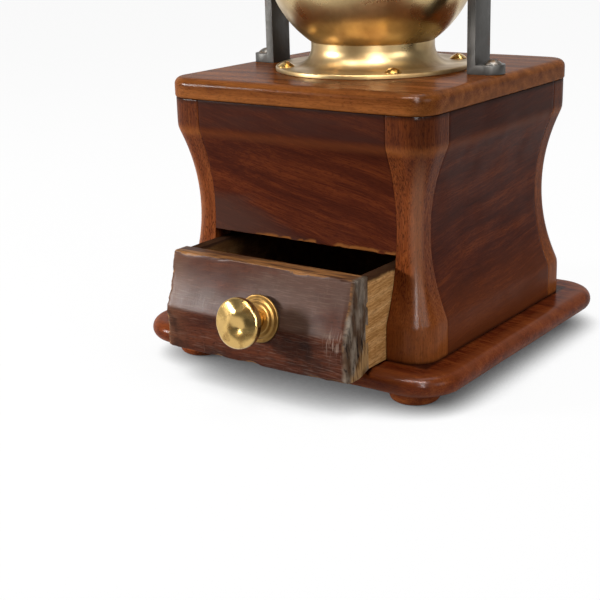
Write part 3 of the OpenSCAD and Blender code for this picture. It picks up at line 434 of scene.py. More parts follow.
def eased(corners, closed=False):
    """A smooth section line from corners given as (radius from the axis, height, rounding)."""
    line = []
    for i, (r, z, rounding) in enumerate(corners):
        here = np.array((r, z), float)
        if rounding == 0 or not closed and i in (0, len(corners) - 1):
            line.append(here)
            continue
        before = np.array(corners[i - 1][:2]) - here
        after = np.array(corners[(i + 1) % len(corners)][:2]) - here
        long_a, long_b = np.linalg.norm(before), np.linalg.norm(after)
        turn = math.pi - math.acos(np.clip(before @ after / long_a / long_b, -1, 1))
        reach = min(rounding * math.tan(turn / 2), 0.47 * long_a, 0.47 * long_b)
        a, b = here + before / long_a * reach, here + after / long_b * reach
        line.append(a + before / long_a * 0.03 * long_a)
        line += [(1 - t) ** 2 * a + 2 * t * (1 - t) * here + t * t * b
                 for t in np.linspace(0, 1, 7)]
        line.append(b + after / long_b * 0.03 * long_b)
    return line


def turned(name, line, closed=False, steps=96, place=(0, 0, 0), turn=Matrix(), form=None):
    """A solid turned about the Z axis from its half section in mm, then shaped by form, turned
    and put in place. A closed section makes a ring; an open one begins and ends on the axis."""
    around = np.linspace(0, 2 * math.pi, steps, endpoint=False)
    points, rings, faces = [], [], []
    for r, z in line:
        if r < 1e-6:
            rings.append([len(points)] * steps)
            points.append((0, 0, z))
        else:
            rings.append(list(range(len(points), len(points) + steps)))
            points += [(r * math.cos(a), r * math.sin(a), z) for a in around]
    pairs = list(zip(rings, rings[1:] + rings[:1]))[:len(rings) - (0 if closed else 1)]
    for low, high in pairs:
        for k in range(steps):
            ring = [low[k], low[(k + 1) % steps], high[(k + 1) % steps], high[k]]
            faces.append(list(dict.fromkeys(ring)))
    points = np.array(points, float)
    if form:
        points = form(points)
    mesh = bpy.data.meshes.new(name)
    mesh.from_pydata((points * MM).tolist(), [], faces)
    face_out(mesh)
    mesh.transform(Matrix.Translation(Vector(place) * MM) @ turn)
    return as_piece(name, mesh)


# The base's stain, painted lighter and more orange on the turned feet: painted light in place of
# the floor's bounce.
foot_wood, put = new_material("oiled_dark_turned_wood")
colour, relief = wood_figure(put, ("#4a1f10", "#7c3c1c", "#a05a2c"), 2.6, 8.0)
polish(put, colour, relief, 0.42, 0.25, 0.22)

feet = ["foot_front_left", "foot_front_right", "foot_back_left", "foot_back_right"]
for number, node in enumerate(feet):
    low, high = span(node)
    centre, foot_r, foot_h = (low + high) / 2, (high[0] - low[0]) / 2, high[2]
    disc = turned(node + "_disc", eased([
        (SHANK_R, foot_h, 0.1), (SHANK_R, RECESS + SEAT_DEPTH, 0), (SEAT_R, RECESS, 0),
        (SEAT_R, 0, 0.25), (foot_r, 0, FOOT_EDGE_R), (foot_r, foot_h, 0.8)], closed=True),
        closed=True, place=(centre[0], centre[1], 0))
    lay_grain(disc, "X", (40 * number, 12, 25))
    hand_over(disc, "case", "foot_wood", foot_wood, node)

# ---- Wood screws ----
# Old slotted steel wood screws with tapering threads: countersunk under the base, with round
# heads on iron and brass. All come from one tree, which draws a screw and sets it in each place.


def keep_plain(piece):
    """Turns a piece and its modifier into a plain mesh."""
    plain = bpy.data.meshes.new_from_object(
        piece.evaluated_get(bpy.context.evaluated_depsgraph_get()))
    piece.modifiers.clear()
    piece.data = plain


def screw_tree():
    """Draws a slotted screw with its seat at the origin and its head along +Z, then puts one at
    each point of the mesh, along the point's own out direction, at an angle of its own."""
    group = bpy.data.node_groups.new("slotted_screw", "GeometryNodeTree")
    put = into(group)
    face = group.interface
    face.new_socket("Places", in_out="INPUT", socket_type="NodeSocketGeometry")
    for name, value in (("Head Radius", 3.4), ("Head Height", 2.0), ("Dome", 1.7),
                        ("Underside Radius", 3.4), ("Shank Radius", 1.9), ("Length", 20.0),
                        ("Slot Width", 0.9), ("Slot Depth", 0.8), ("Pitch", 1.6),
                        ("Thread Depth", 0.35)):
        socket = face.new_socket(name, in_out="INPUT", socket_type="NodeSocketFloat")
        socket.default_value = value * MM
    face.new_socket("Seat Above", in_out="INPUT", socket_type="NodeSocketBool")
    face.new_socket("Seed", in_out="INPUT", socket_type="NodeSocketInt").default_value = 3
    face.new_socket("Finish", in_out="INPUT", socket_type="NodeSocketMaterial")
    face.new_socket("Screws", in_out="OUTPUT", socket_type="NodeSocketGeometry")
    size = put("NodeGroupInput").outputs
    here = put("GeometryNodeInputPosition")
    xyz = put("SeparateXYZ", here).outputs
    flat = put("VectorMath MULTIPLY", here, (1, 1, 0))
    radius = put("VectorMath LENGTH", flat)

    # The head: a disc whose top is domed and whose underside narrows to its own radius.
    head = put("GeometryNodeMeshCylinder", Vertices=40, Side_Segments=1, Fill_Segments=8,
               Radius=size["Head Radius"], Depth=size["Head Height"], fill_type="TRIANGLE_FAN")
    share = put("Math DIVIDE", radius, size["Head Radius"])
    squared = put("Math POWER", share, 2.0)
    drop = put("Math MULTIPLY", squared, size["Dome"])
    is_top = put("Math GREATER_THAN", xyz[2], 0.0)
    fall = put("Math MULTIPLY", put("Math MULTIPLY", drop, is_top), -1.0)
    down = put("CombineXYZ", Z=fall)
    head = put("GeometryNodeSetPosition", head, Offset=down)
    under = put("Math DIVIDE", size["Underside Radius"], size["Head Radius"])
    under = put("CombineXYZ", under, under, 1.0)
    narrowed = put("VectorMath MULTIPLY", here, under)
    is_low = put("Math LESS_THAN", xyz[2], 0.0)
    head = put("GeometryNodeSetPosition", head, Selection=is_low, Position=narrowed)
    half_head = put("Math MULTIPLY", size["Head Height"], 0.5)
    wide = put("Math MULTIPLY", size["Head Radius"], 2.4)
    deep = put("Math MULTIPLY", size["Slot Depth"], 2.0)
    bar = put("GeometryNodeMeshCube", Size=put("CombineXYZ", wide, size["Slot Width"], deep))
    lift = put("CombineXYZ", Z=half_head)
    bar = put("GeometryNodeTransform", bar, Translation=lift)
    head = put("GeometryNodeMeshBoolean", head, bar, operation="DIFFERENCE")
    lifted = put("GeometryNodeTransform", head, Translation=lift)
    sunk = put("VectorMath MULTIPLY", lift, (-1, -1, -1))
    sunk = put("GeometryNodeTransform", head, Translation=sunk)
    head = put("GeometryNodeSwitch", size["Seat Above"], sunk, lifted, input_type="GEOMETRY")

    # The shank: its lower two thirds carry a thread that runs out in a point.
    shank = put("GeometryNodeMeshCylinder", Vertices=20, Side_Segments=90,
                Radius=size["Shank Radius"], Depth=size["Length"])
    angle = put("Math DIVIDE", put("Math ARCTAN2", xyz[1], xyz[0]), 2 * math.pi)
    climb = put("Math DIVIDE", xyz[2], size["Pitch"])
    phase = put("Math SUBTRACT", climb, angle)
    groove = put("Math PINGPONG", phase, 0.5)
    root = put("Math DIVIDE", size["Thread Depth"], size["Shank Radius"])
    cut = put("Math MULTIPLY", groove, root)
    upper = put("Math MULTIPLY", size["Length"], 0.17)
    threaded = put("Math LESS_THAN", xyz[2], upper)
    cut = put("Math MULTIPLY", cut, threaded)
    keep = put("Math SUBTRACT", 1.0, cut)
    half_long = put("Math MULTIPLY", size["Length"], 0.5)
    over_tip = put("Math", xyz[2], half_long)
    taper = put("Math MULTIPLY", size["Shank Radius"], 2.0)
    point = put("MapRange", over_tip, 0, taper, 0.12)
    scale = put("Math MULTIPLY", keep, point)
    scale = put("CombineXYZ", scale, scale, 1.0)
    slim = put("VectorMath MULTIPLY", here, scale)
    shank = put("GeometryNodeSetPosition", shank, Position=slim)
    below = put("CombineXYZ", Z=put("Math MULTIPLY", half_long, -1.0))
    shank = put("GeometryNodeTransform", shank, Translation=below)
    screw = put("GeometryNodeJoinGeometry", shank)
    group.links.new(head.outputs[0], screw.inputs[0])

    out = put("GeometryNodeInputNamedAttribute", Name="out", data_type="FLOAT_VECTOR")
    aim = put("FunctionNodeAlignRotationToVector", Vector=out, axis="Z")
    spin = put("CombineXYZ", Z=put("FunctionNodeRandomValue", Max=2 * math.pi, Seed=size["Seed"]))
    spin = put("FunctionNodeEulerToRotation", spin)
    aim = put("FunctionNodeRotateRotation", aim, spin, rotation_space="LOCAL")
    points = put("GeometryNodeMeshToPoints", size["Places"])
    set_out = put("GeometryNodeInstanceOnPoints", Points=points, Instance=screw, Rotation=aim)
    real = put("GeometryNodeRealizeInstances", set_out)
    made = put("GeometryNodeSetMaterial", real, Material=size["Finish"])
    put("NodeGroupOutput", made)
    return group


def from_tree(name, group, points, outs, finish, sizes):
    """Runs a tree over points that each carry a direction, and keeps the plain mesh. Points and
    sizes are in mm."""
    mesh = bpy.data.meshes.new(name)
    mesh.from_pydata([tuple(c * MM for c in p) for p in points], [], [])
    mesh.attributes.new("out", "FLOAT_VECTOR", "POINT").data.foreach_set(
        "vector", np.array(outs, float).ravel())
    piece = as_piece(name, mesh)
    maker = piece.modifiers.new("maker", "NODES")
    maker.node_group = group
    for item in group.interface.items_tree:
        value = sizes.get(item.name)
        if item.socket_type == "NodeSocketMaterial":
            maker[item.identifier] = finish
        elif value is not None:
            length = item.socket_type == "NodeSocketFloat"
            maker[item.identifier] = value * MM if length else value
    keep_plain(piece)
    piece.data.shade_smooth()
    piece.data.set_sharp_from_angle(angle=math.radians(38))
    return piece


def drive(node, points, outs, body="case", slot="steel", finish=None, made="turned", **sizes):
    """Puts slotted screws at points, heads out, in place of a node. Sizes are in mm."""
    finish = finish or screw_steel
    sizes = {name.replace("_", " "): value for name, value in sizes.items()}
    piece = from_tree(f"{node}_{made}", SLOTTED, points, outs, finish, sizes)
    hand_over(piece, body, slot, finish, node)


def metal_skin(put, colour, gloss, relief, relief_mm, strength=0.5, bare=1.0):
    """The surface over a metal's colour, roughness and relief, dull where it isn't bare."""
    bump = put("Bump", Height=relief, Strength=strength, Distance=relief_mm * MM)
    metal = put("BsdfPrincipled", colour, bare, gloss, Normal=bump)
    put("OutputMaterial", metal)


# Bare steel screws darkened by handling: grey metal with brown bloom in the slots.
screw_steel, put = new_material("aged_turned_steel")
spot = put("TexCoord").outputs["Object"]
bloom = put("TexNoise", spot, Scale=every(2.38), Detail=4.0)
tarnish = put("MapRange", bloom, 0.42, 0.66)
colour = put("Mix RGBA", tarnish, "#7b7873", "#51402f")
gloss = put("MapRange", bloom, 0.3, 0.7, 0.26, 0.5)
scuffs = put("TexNoise", spot, Scale=every(0.455), Detail=2.0)
metal_skin(put, colour, gloss, scuffs, 0.04)

SLOTTED = screw_tree()
COUNTERSUNK = {"Head_Height": 2.2, "Dome": 0.0, "Underside_Radius": 1.9, "Seat_Above": False}
DOWN, UP = (0, 0, -1), (0, 0, 1)
post_low, post_high = span("post_front_right")
panel_mid = (post_low[0] + post_high[0]) / 2
foot_spots = [((span(n)[0] + span(n)[1]) / 2)[:2] for n in feet]
drive("foot_screws", [(x, y, RECESS) for x, y in foot_spots], [DOWN] * 4, Length=26, Seed=1,
      **COUNTERSUNK)
BASE_SCREW_OFF = 0.6 * post_low[0]
base_spots = [(x, y) for x in (-panel_mid, panel_mid) for y in (-BASE_SCREW_OFF, BASE_SCREW_OFF)]
base_spots += [(-BASE_SCREW_OFF / 2, panel_mid), (BASE_SCREW_OFF / 2, panel_mid)]
drive("base_screws", [(x, y, base_low[2]) for x, y in base_spots], [DOWN] * 6, Length=20, Seed=2,
      **COUNTERSUNK)

# ---- Corner posts ----
# Four posts of a warmer hardwood stand on end at the corners. Their grain runs up, and they are
# moulded with the panels to one outline: plinth, hollow waist and frieze.
BOX_CORNER_R, COVE_DEPTH, ARRIS = 10.5, 7.6, 0.5
inner = post_low[0]
COVE_LOW, COVE_HIGH = post_low[2] + 14.0, post_high[2] - 12.0
cove_mid = (COVE_LOW + COVE_HIGH) / 2
cove_r = (((COVE_HIGH - COVE_LOW) / 2) ** 2 + COVE_DEPTH ** 2) / (2 * COVE_DEPTH)


def waist(z):
    """How far the box's outline is set in at a height, with the arrises rubbed round."""
    hollow = COVE_DEPTH - cove_r + np.sqrt(cove_r ** 2 - (z - cove_mid) ** 2)
    return (hollow + np.sqrt(hollow ** 2 + ARRIS ** 2)) / 2


def box_form(places):
    """Moulds square blanks to the outline of the box."""
    return moulded(uneven(places, 0.07), BOX_HALF, BOX_CORNER_R, waist(places[:, 2]))


def along_noise(put, spot, sizes_mm, rotation=(0, 0, 0), detail=3.0, rough=0.6):
    """Noise whose grains have a size of their own along x, y and z."""
    ways = put("Mapping", spot, Rotation=rotation, Scale=[every(size) for size in sizes_mm])
    return put("TexNoise", ways, Scale=1.0, Detail=detail, Roughness=rough)


def beside(put, level_mm, width_mm):
    """A soft band round a level of the box along the moulding's arris: rubbed wear and a painted
    highlight.
    """
    spot = put("TexCoord").outputs["Object"]
    z = put("SeparateXYZ", spot).outputs[2]
    off = put("Math ABSOLUTE", put("Math", z, -level_mm * MM))
    return put("MapRange SMOOTHSTEP", off, 0, width_mm * MM, 1.0, 0.0)


def dirt_wear_and_painted_light(put, colour, dull_colour, dull, low_light_colour, arris_wear_and_highlight_colour, arris):
    """Marks on a moulded face: a frieze dulled in patches, painted shade darkening the hollow under
    it, painted light lightening it towards the plinth, dark lines in its joints with the base and
    the top board, which are dirt and, under the top board, painted shadow too, and a pale band
    along the arris that is partly rubbed wear and partly a painted highlight."""
    spot = put("TexCoord").outputs["Object"]
    z = put("SeparateXYZ", spot).outputs[2]
    smears = along_noise(put, spot, (28.6, 28.6, 3.12), rough=0.5)
    smears = put("MapRange", smears, 0.3, 0.62, 1.2 * dull, 0.5 * dull)
    frieze = put("MapRange", z, (COVE_HIGH + 0.2) * MM, (COVE_HIGH + 2.2) * MM)
    frieze = put("Math MULTIPLY", frieze, smears)
    # Painted light and shade: lighter towards the plinth, darker in the upper hollow under the
    # frieze.
    painted_low_light, shade = (put("MapRange", z, start * MM, end * MM, 0, most)
                   for start, end, most in ((46, 22, 0.4), (72, COVE_HIGH, 0.35)))
    # A pale band along the arris under the frieze: rubbed wear and a painted highlight.
    rubbed = put("Math MULTIPLY", beside(put, COVE_HIGH - 0.9, 3.2), arris)
    # Dark lines at the joints: dirt, and under the top board a painted shadow too.
    under = put("MapRange", z, (post_high[2] - 1.8) * MM, (post_high[2] - 0.2) * MM, 0, 0.8)
    over = put("MapRange", z, (post_low[2] + 0.2) * MM, (post_low[2] + 1.2) * MM, 0.6, 0.0)
    joint = put("Math MAXIMUM", under, over)
    return coats(put, colour, (frieze, dull_colour), (painted_low_light, low_light_colour), (shade, "#2a0f07"),
                 (rubbed, arris_wear_and_highlight_colour), (joint, "#1c0d07"))


# Stained fruitwood, scraped and oiled: orange-brown with fine upright fibres, dark pores and fine
# ripples across from the scraper. Its arrises are paler from rubbing and from a painted highlight,
# painted light lightens it towards the plinth, and a pale streak runs down each outer corner.
post_wood, put = new_material("oiled_orange_brown_hardwood")
colour, relief = wood_figure(put, ("#3a1708", "#743817", "#9a5627"), 2.2, 3.0, 0.1, 0.15, 0.45,
                             0.75)
colour = dirt_wear_and_painted_light(put, colour, "#452319", 0.32, "#a5602f", "#a5602b", 0.35)
WAVE_SCALE = math.pi / 10  # At this scale, a wave texture's bands lie one unit apart.
RIPPLE_MM = 1.21
place = put("Attribute", attribute_name="grain").outputs["Vector"]
ripples = put("TexWave", place, Scale=WAVE_SCALE / RIPPLE_MM, Distortion=5.0, Detail=2.0,
              Detail_Scale=0.4, bands_direction="X").outputs["Fac"]
relief = put("Math MULTIPLY_ADD", ripples, 0.35, relief)
# A pale streak down each post's outer corner over the waist: partly rubbed wear and partly a
# painted highlight.
x, y, z = put("SeparateXYZ", put("TexCoord").outputs["Object"]).outputs
x, y = (put("Math ABSOLUTE", side) for side in (x, y))
corner = put("Math ABSOLUTE", put("Math SUBTRACT", x, y))
corner = put("MapRange SMOOTHSTEP", corner, 0.005, 0.0005, 0, 0.34)
for start, end in ((COVE_HIGH, COVE_HIGH - 16), (24, 42)):
    highlight_height = put("MapRange", z, start * MM, end * MM)
    corner = put("Math MULTIPLY", corner, highlight_height)
colour = put("Mix RGBA", corner, colour, "#c79070")
polish(put, colour, relief, 0.36, 0.3, 0.2, 0.035)

for number, (node, sx, sy) in enumerate((("post_front_left", -1, -1), ("post_front_right", 1, -1),
                                         ("post_back_left", -1, 1), ("post_back_right", 1, 1))):
    low, high = span(node)
    post = block(node + "_moulded", lattice(low, high, (1.05, 1.05, 1.4), 0.3), box_form, 0.3)
    lay_grain(post, "Z", (130 * number, 9 - 30 * sx, 34 * sy))
    hand_over(post, "case", "post_wood", post_wood, node)

# ---- Panels ----
# A darker wood closes the sides between the posts, with its grain running round the box. The
# front one ends over the drawer, where its lower lip is chipped.
CHIP_BITE = 0.8


def lip_chips(blank):
    """Where the front panel's lower front edge has broken away."""
    low, high = blank.min(0), blank.max(0)
    along = np.array([noise.fractal(Vector((p[0] / 9, 3.7, p[2] / 6)), 0.8, 2.0, 4) for p in blank])
    broken = np.clip((blank[:, 0] + 30) / 25, 0, 1)
    near = np.clip(1 - np.hypot(blank[:, 2] - low[2], blank[:, 1] - low[1]) / 1.8, 0, 1)
    return np.clip(0.45 + along * 1.2, 0, 1) * near * broken


# Dark stained mahogany-like wood: deep red-brown with long orange streaks that slant across the
# board, a greyer old bloom of wax low on the left, and a duller, greyer frieze. Painted light
# lightens it towards the plinth, and painted shade darkens the hollow under the frieze.
panel_wood, put = new_material("oiled_dark_figured_hardwood")
colour, relief = wood_figure(put, ("#34130a", "#4c1f0f", "#6d3317"), 5.5, 9.0, 0.15, 0.55, 0.45,
                             0.45)
spot = put("TexCoord").outputs["Object"]
xyz = put("SeparateXYZ", spot).outputs
cloud = along_noise(put, spot, (45.5, 25, 11.8), (0, 0.7, 0), rough=0.5)
low_left = put("Math MULTIPLY_ADD", cloud, 0.09, put("Math MULTIPLY_ADD", xyz[0], 0.5, xyz[2]))
bloom = put("MapRange SMOOTHSTEP", low_left, 0.080, 0.105, 0.65, 0.0)
in_front = put("Math LESS_THAN", xyz[1], -inner * MM)
bloom = put("Math MULTIPLY", bloom, in_front)
colour = put("Mix RGBA", bloom, colour, "#473129")
colour = dirt_wear_and_painted_light(put, colour, "#3f261f", 0.6, "#7d4220", "#7a4220", 0.3)
bare = put("MapRange", put("Attribute", attribute_name="chip").outputs["Fac"], 0.1, 0.35)
colour = put("Mix RGBA", bare, colour, "#875228")
polish(put, colour, relief, 0.40, 0.05, 0.3, 0.03, 0.02)

low, high = span("front_panel")
front = block("front_panel_moulded", lattice((-inner, low[1], low[2]), (inner, -inner, high[2]),
                                             (1.0, 1.2, 1.0), 0.3), box_form, 0.3, lip_chips,
              CHIP_BITE)
lay_grain(front, "X", (20, 31, 46), tilt=-13)
hand_over(front, "case", "panel_wood", panel_wood, "front_panel")
low, high = span("back_panel")
back = block("back_panel_moulded", lattice((-inner, inner, low[2]), (inner, high[1], high[2]),
                                           (1.4, 1.6, 1.3), 0.3), box_form, 0.3)
lay_grain(back, "X", (260, 18, -50), tilt=5)
hand_over(back, "case", "panel_wood", panel_wood, "back_panel")
for node, sx in (("left_panel", -1), ("right_panel", 1)):
    low, high = span(node)
    near, far = sorted((sx * inner, sx * BOX_HALF))
    panel = block(node + "_moulded", lattice((near, -inner, low[2]), (far, inner, high[2]),
                                             (1.6, 1.4, 1.3), 0.3), box_form, 0.3)
    lay_grain(panel, "Y", (90 + 200 * sx, 26, 55), tilt=6 * sx)
    hand_over(panel, "case", "panel_wood", panel_wood, node)

# ---- Top board ----
# One board of golden-brown wood, planed, with its upper edge rounded over and a round hole for
# the beans. It is glued and screwed down on posts and panels.
THROAT_R, BOARD_EDGE_R, BOARD_FOOT_R = 21.0, 3.0, 1.0


def outline_reach(angle, half, corner):
    """From the middle to a square outline with round corners, in a direction."""
    c, s = abs(math.cos(angle)), abs(math.sin(angle))
    straight = half / max(c, s)
    if min(c, s) * straight <= half - corner:
        return straight
    dot = (half - corner) * (c + s)
    return dot + math.sqrt(dot * dot - 2 * (half - corner) ** 2 + corner ** 2)


def holed_board(name, low, high, corner, hole_r):
    """A board with a moulded square outline and a round hole: its mesh runs from the hole out
    over the top, round the edge and back underneath."""
    half = high[0]
    flat = np.linspace(-1, 1, 80)[:-1] * (half - corner)
    arc = np.linspace(0, math.pi / 2, 17)[:-1]
    quarter = [math.atan2(y, half) for y in flat] + [
        math.atan2(half - corner + corner * math.sin(a), half - corner + corner * math.cos(a))
        for a in arc]
    angles = [q + k * math.pi / 2 for k in range(4) for q in quarter]
    steps = np.linspace(0, 1, 24)
    rows = [(0, 0, low[2] + h) for h in np.linspace(0, high[2] - low[2], 5)]
    rows += [(t, BOARD_EDGE_R, high[2]) for t in steps[1:]]
    turn = np.linspace(0, math.pi / 2, 8)[1:]
    rows += [(1, BOARD_EDGE_R * (1 - math.sin(a)), high[2] - BOARD_EDGE_R * (1 - math.cos(a)))
             for a in turn]
    rows += [(1, BOARD_FOOT_R * (1 - math.cos(a)), low[2] + BOARD_FOOT_R * (1 - math.sin(a)))
             for a in np.concatenate([[0], turn])]
    rows += [(t, BOARD_FOOT_R, low[2]) for t in steps[-2:0:-1]]
    points, gaps, faces = [], [], []
    for t, inset, z in rows:
        for angle in angles:
            reach = outline_reach(angle, half - inset, corner - inset)
            r = hole_r + t * (reach - hole_r)
            points.append((r * math.cos(angle), r * math.sin(angle), z))
            gaps.append(max(outline_reach(angle, half, corner) - r, min(z - low[2], high[2] - z)))
    count = len(angles)
    for i in range(len(rows)):
        a, b = i * count, (i + 1) % len(rows) * count
        faces += [(a + k, a + (k + 1) % count, b + (k + 1) % count, b + k) for k in range(count)]
    mesh = bpy.data.meshes.new(name)
    spots = np.clip(uneven(np.array(points), 0.06), low, high)
    mesh.from_pydata((spots * MM).tolist(), [], faces)
    mesh.attributes.new("edge_mm", "FLOAT", "POINT").data.foreach_set("value", gaps)
    face_out(mesh)
    return as_piece(name, mesh)


# Golden-brown oiled wood with a fine straight grain, paler along its rubbed edge.
top_wood, put = new_material("oiled_golden_brown_hardwood")
colour, relief = wood_figure(put, ("#3f1e0b", "#6f3c19", "#95582a"), 3.0, 7.0, 0.2, 0.45, 0.4)
rubbed = wear(put, "edge_mm", 0.3, 3.5, 7.0)
rubbed = put("Math MULTIPLY", rubbed, 0.35)
colour = put("Mix RGBA", rubbed, colour, "#9c5f2c")
polish(put, colour, relief, 0.36, 0.25, 0.18)
board_low, board_high = span("top_board")
board_top = board_high[2]
board = holed_board("top_board_moulded", board_low, board_high, BOX_CORNER_R + 0.4, THROAT_R)
lay_grain(board, "X", (60, 8, 47))
hand_over(board, "case", "top_wood", top_wood, "top_board")

# ---- Drawer front ----
# Cut from the same moulding as the plinth and the waist, so it closes flush with the box. Years
# of pulling have broken its top edge and worn its right end down to grey bare wood.
DRAWER_BITE = 1.2
LIP_THICK = 6.5
KNOB_X, KNOB_Z, KNOB_LEAN, KNOB_SEAT, KNOB_RISE = 3.0, 32.0, 8.0, 0.9, 2.7
ROSETTE_R, ROSETTE_T, KNOB_R, KNOB_OUT = 9.2, 2.2, 9.6, 17.1
front_low, front_high = span("drawer_front")
drawn_out = -BOX_HALF - front_low[1]
CREASE_Z, DRAWER_FLOOR = COVE_LOW, post_low[2] + 0.2
SCUFF_X, SCUFF_Z = 38.0, 28.0
LEAN = math.radians(KNOB_LEAN)
knob_place = np.array((KNOB_X, front_low[1] + KNOB_SEAT + KNOB_RISE * math.tan(LEAN), KNOB_Z))
knob_axis = np.array((0, -math.cos(LEAN), math.sin(LEAN)))


def drawer_form(places):
    """The box's outline, on a board that stands open by the drawer's travel. The lip under it
    is bevelled at its back, and the moulding is cut flat where the knob's rosette sits."""
    shut = places + np.array((0, drawn_out, 0))
    form = np.clip(moulded(uneven(shut, 0.1, 9.0), BOX_HALF, BOX_CORNER_R, waist(shut[:, 2]))
                   - np.array((0, drawn_out, 0)), front_low, front_high)
    over = np.clip((form[:, 2] - front_low[2]) / (DRAWER_FLOOR - front_low[2]), 0, 1)
    thick = LIP_THICK + over * (front_high[1] - front_low[1] - LIP_THICK)
    form[:, 1] = np.minimum(form[:, 1], front_low[1] + thick)
    out = (form - knob_place) @ knob_axis
    off = form - knob_place - out[:, None] * knob_axis
    seated = (np.linalg.norm(off, axis=1) < ROSETTE_R + 0.15) & (out > 0)
    return form - np.where(seated, out, 0)[:, None] * knob_axis


def drawer_wear(blank):
    """How deep each point is broken or worn: in long thin splinters along the top edge, and
    rounded away down the right end."""
    low, high = blank.min(0), blank.max(0)
    gap_top, gap_low = high[2] - blank[:, 2], blank[:, 2] - low[2]
    gap_right, gap_left = high[0] - blank[:, 0], blank[:, 0] - low[0]
    gap_front = blank[:, 1] - low[1]
    rough = np.array([noise.fractal(Vector((p[0] / 11, p[1] / 6, p[2] / 6)), 0.8, 2.0, 5)
                      for p in blank])
    corner = np.clip(1 - np.hypot(gap_right, gap_low) / 10, 0, 1)
    edges = ((gap_top, 1.5, 0.4 + 0.9 * rough), (gap_right, 3.4, 0.6 + 0.7 * rough),
             (gap_left, 2.0, 0.35 + 0.7 * rough), (gap_low, 1.6, 0.15 + 0.8 * rough + corner))
    return np.maximum.reduce([np.clip(1 - np.hypot(gap, gap_front) / reach, 0, 1)
                              * np.clip(broken, 0, 1) for gap, reach, broken in edges])


# Worn dark polish on mahogany-like wood: finely scratched where it slopes up to the light, with a
# painted greyish sheen there, mottled dark red-brown below the crease, tan bare wood along the
# broken top edge, and at the right end grey weathered end grain with black cracks and a facet worn
# to golden wood.
drawer_wood, put = new_material("worn_dark_polished_hardwood")
colour, relief = wood_figure(put, ("#2e140b", "#4b2415", "#6b3820"), 4.2, 8.0, 0.15, 0.4, 0.4)
spot = put("TexCoord").outputs["Object"]
xyz = put("SeparateXYZ", spot).outputs
cloud = along_noise(put, spot, (16.7, 16.7, 11.1), detail=5.0)
slow = along_noise(put, spot, (41.7, 33.3, 26.3))
height = put("Math MULTIPLY_ADD", cloud, 0.003, xyz[2])
slope = put("MapRange SMOOTHSTEP", height, (CREASE_Z + 0.4) * MM, (CREASE_Z + 3) * MM)
# A painted greyish sheen on the slope above the crease, where the polish faces up to the light.
painted_sheen = put("Math MULTIPLY", put("MapRange SMOOTHSTEP", slow, 0.32, 0.62, 0, 0.8), slope)
left_side = put("MapRange SMOOTHSTEP", xyz[0], -0.028, -0.048, 0, 0.55)
mottled = put("MapRange SMOOTHSTEP", cloud, 0.5, 0.64, 0, 0.7)
below = put("Math SUBTRACT", 1.05, slope)
mottled = put("Math MULTIPLY", mottled, below)
scratches = along_noise(put, spot, (6.67, 3.33, 0.476), (0, 0.05, 0), 2.0)
crossing = along_noise(put, spot, (0.667, 3.33, 4.55), (0, -0.25, 0), 2.0)
patches = put("MapRange SMOOTHSTEP", slow, 0.44, 0.56)
scratched = put("MapRange SMOOTHSTEP", scratches, 0.46, 0.78, 0, 0.26)
crossed = put("MapRange SMOOTHSTEP", crossing, 0.58, 0.78, 0, 0.14)
scratched = put("Math MULTIPLY", put("Math MAXIMUM", scratched, crossed), patches)
scuffs = put("VectorMath DISTANCE", spot, (SCUFF_X * MM, front_low[1] * MM, SCUFF_Z * MM))
scuffs = put("MapRange SMOOTHSTEP", scuffs, 0.007, 0.002)
crossed = put("MapRange SMOOTHSTEP", crossing, 0.46, 0.66, 0, 0.5)
scuffs = put("Math MULTIPLY", scuffs, crossed)
chip = put("Attribute", attribute_name="chip").outputs["Fac"]
worn_edge = put("Math MULTIPLY_ADD", cloud, 0.5, chip)
bare = put("MapRange SMOOTHSTEP", worn_edge, 0.42, 0.62, 0, 0.9)
splinters = along_noise(put, spot, (16.7, 1.43, 1.43))
splinters = put("MapRange SMOOTHSTEP", splinters, 0.38, 0.62)
raw = put("Mix RGBA", splinters, "#45291a", "#98683a")
top_face = put("MapRange SMOOTHSTEP", xyz[2], (front_high[2] - 0.5) * MM,
               (front_high[2] - 0.2) * MM, 0, 0.85)
bare = put("Math MAXIMUM", bare, top_face)
end = put("Math MULTIPLY_ADD", cloud, 0.003, xyz[0])
end = put("MapRange SMOOTHSTEP", end, (front_high[0] - 1.6) * MM, (front_high[0] + 0.4) * MM)
splits = along_noise(put, spot, (5, 1.11, 6.67), (0.45, 0, 0), 5.0)
weather = along_noise(put, spot, (11.1, 4.17, 12.5), (0.2, 0, 0))
streaked = put("MapRange SMOOTHSTEP", weather, 0.38, 0.6)
grey = put("Mix RGBA", streaked, "#523d2d", "#85786a")
low_end = put("MapRange SMOOTHSTEP", xyz[2], (front_low[2] + 22) * MM, (front_low[2] + 12) * MM)
crack = put("MapRange SMOOTHSTEP", splits, 0.50, 0.41)
deep = put("Math MULTIPLY_ADD", low_end, 0.55, 0.4)
crack = put("Math MULTIPLY", crack, deep)
facet = put("Math MULTIPLY_ADD", weather, 0.012, put("Math MULTIPLY_ADD", xyz[1], -1.35, xyz[2]))
facet_at = (front_low[2] + 3.0 - 1.35 * front_low[1]) * MM
facet_in = put("MapRange SMOOTHSTEP", facet, facet_at + 0.003, facet_at - 0.001)
facet_out = put("MapRange SMOOTHSTEP", facet, facet_at - 0.014, facet_at - 0.009, 0, 0.85)
facet = put("Math MULTIPLY", facet_in, facet_out)
streaked = put("MapRange SMOOTHSTEP", splits, 0.40, 0.58)
worn_wood = put("Mix RGBA", streaked, "#6f4a28", "#a98558")
grey = coats(put, grey, (crack, "#1d130d"), (facet, worn_wood))
colour = coats(put, colour, (painted_sheen, "#604b42"), (left_side, "#74503a"), (mottled, "#2b1812"),
               (scratched, "#987f70"), (scuffs, "#a59182"), (bare, raw), (end, grey))
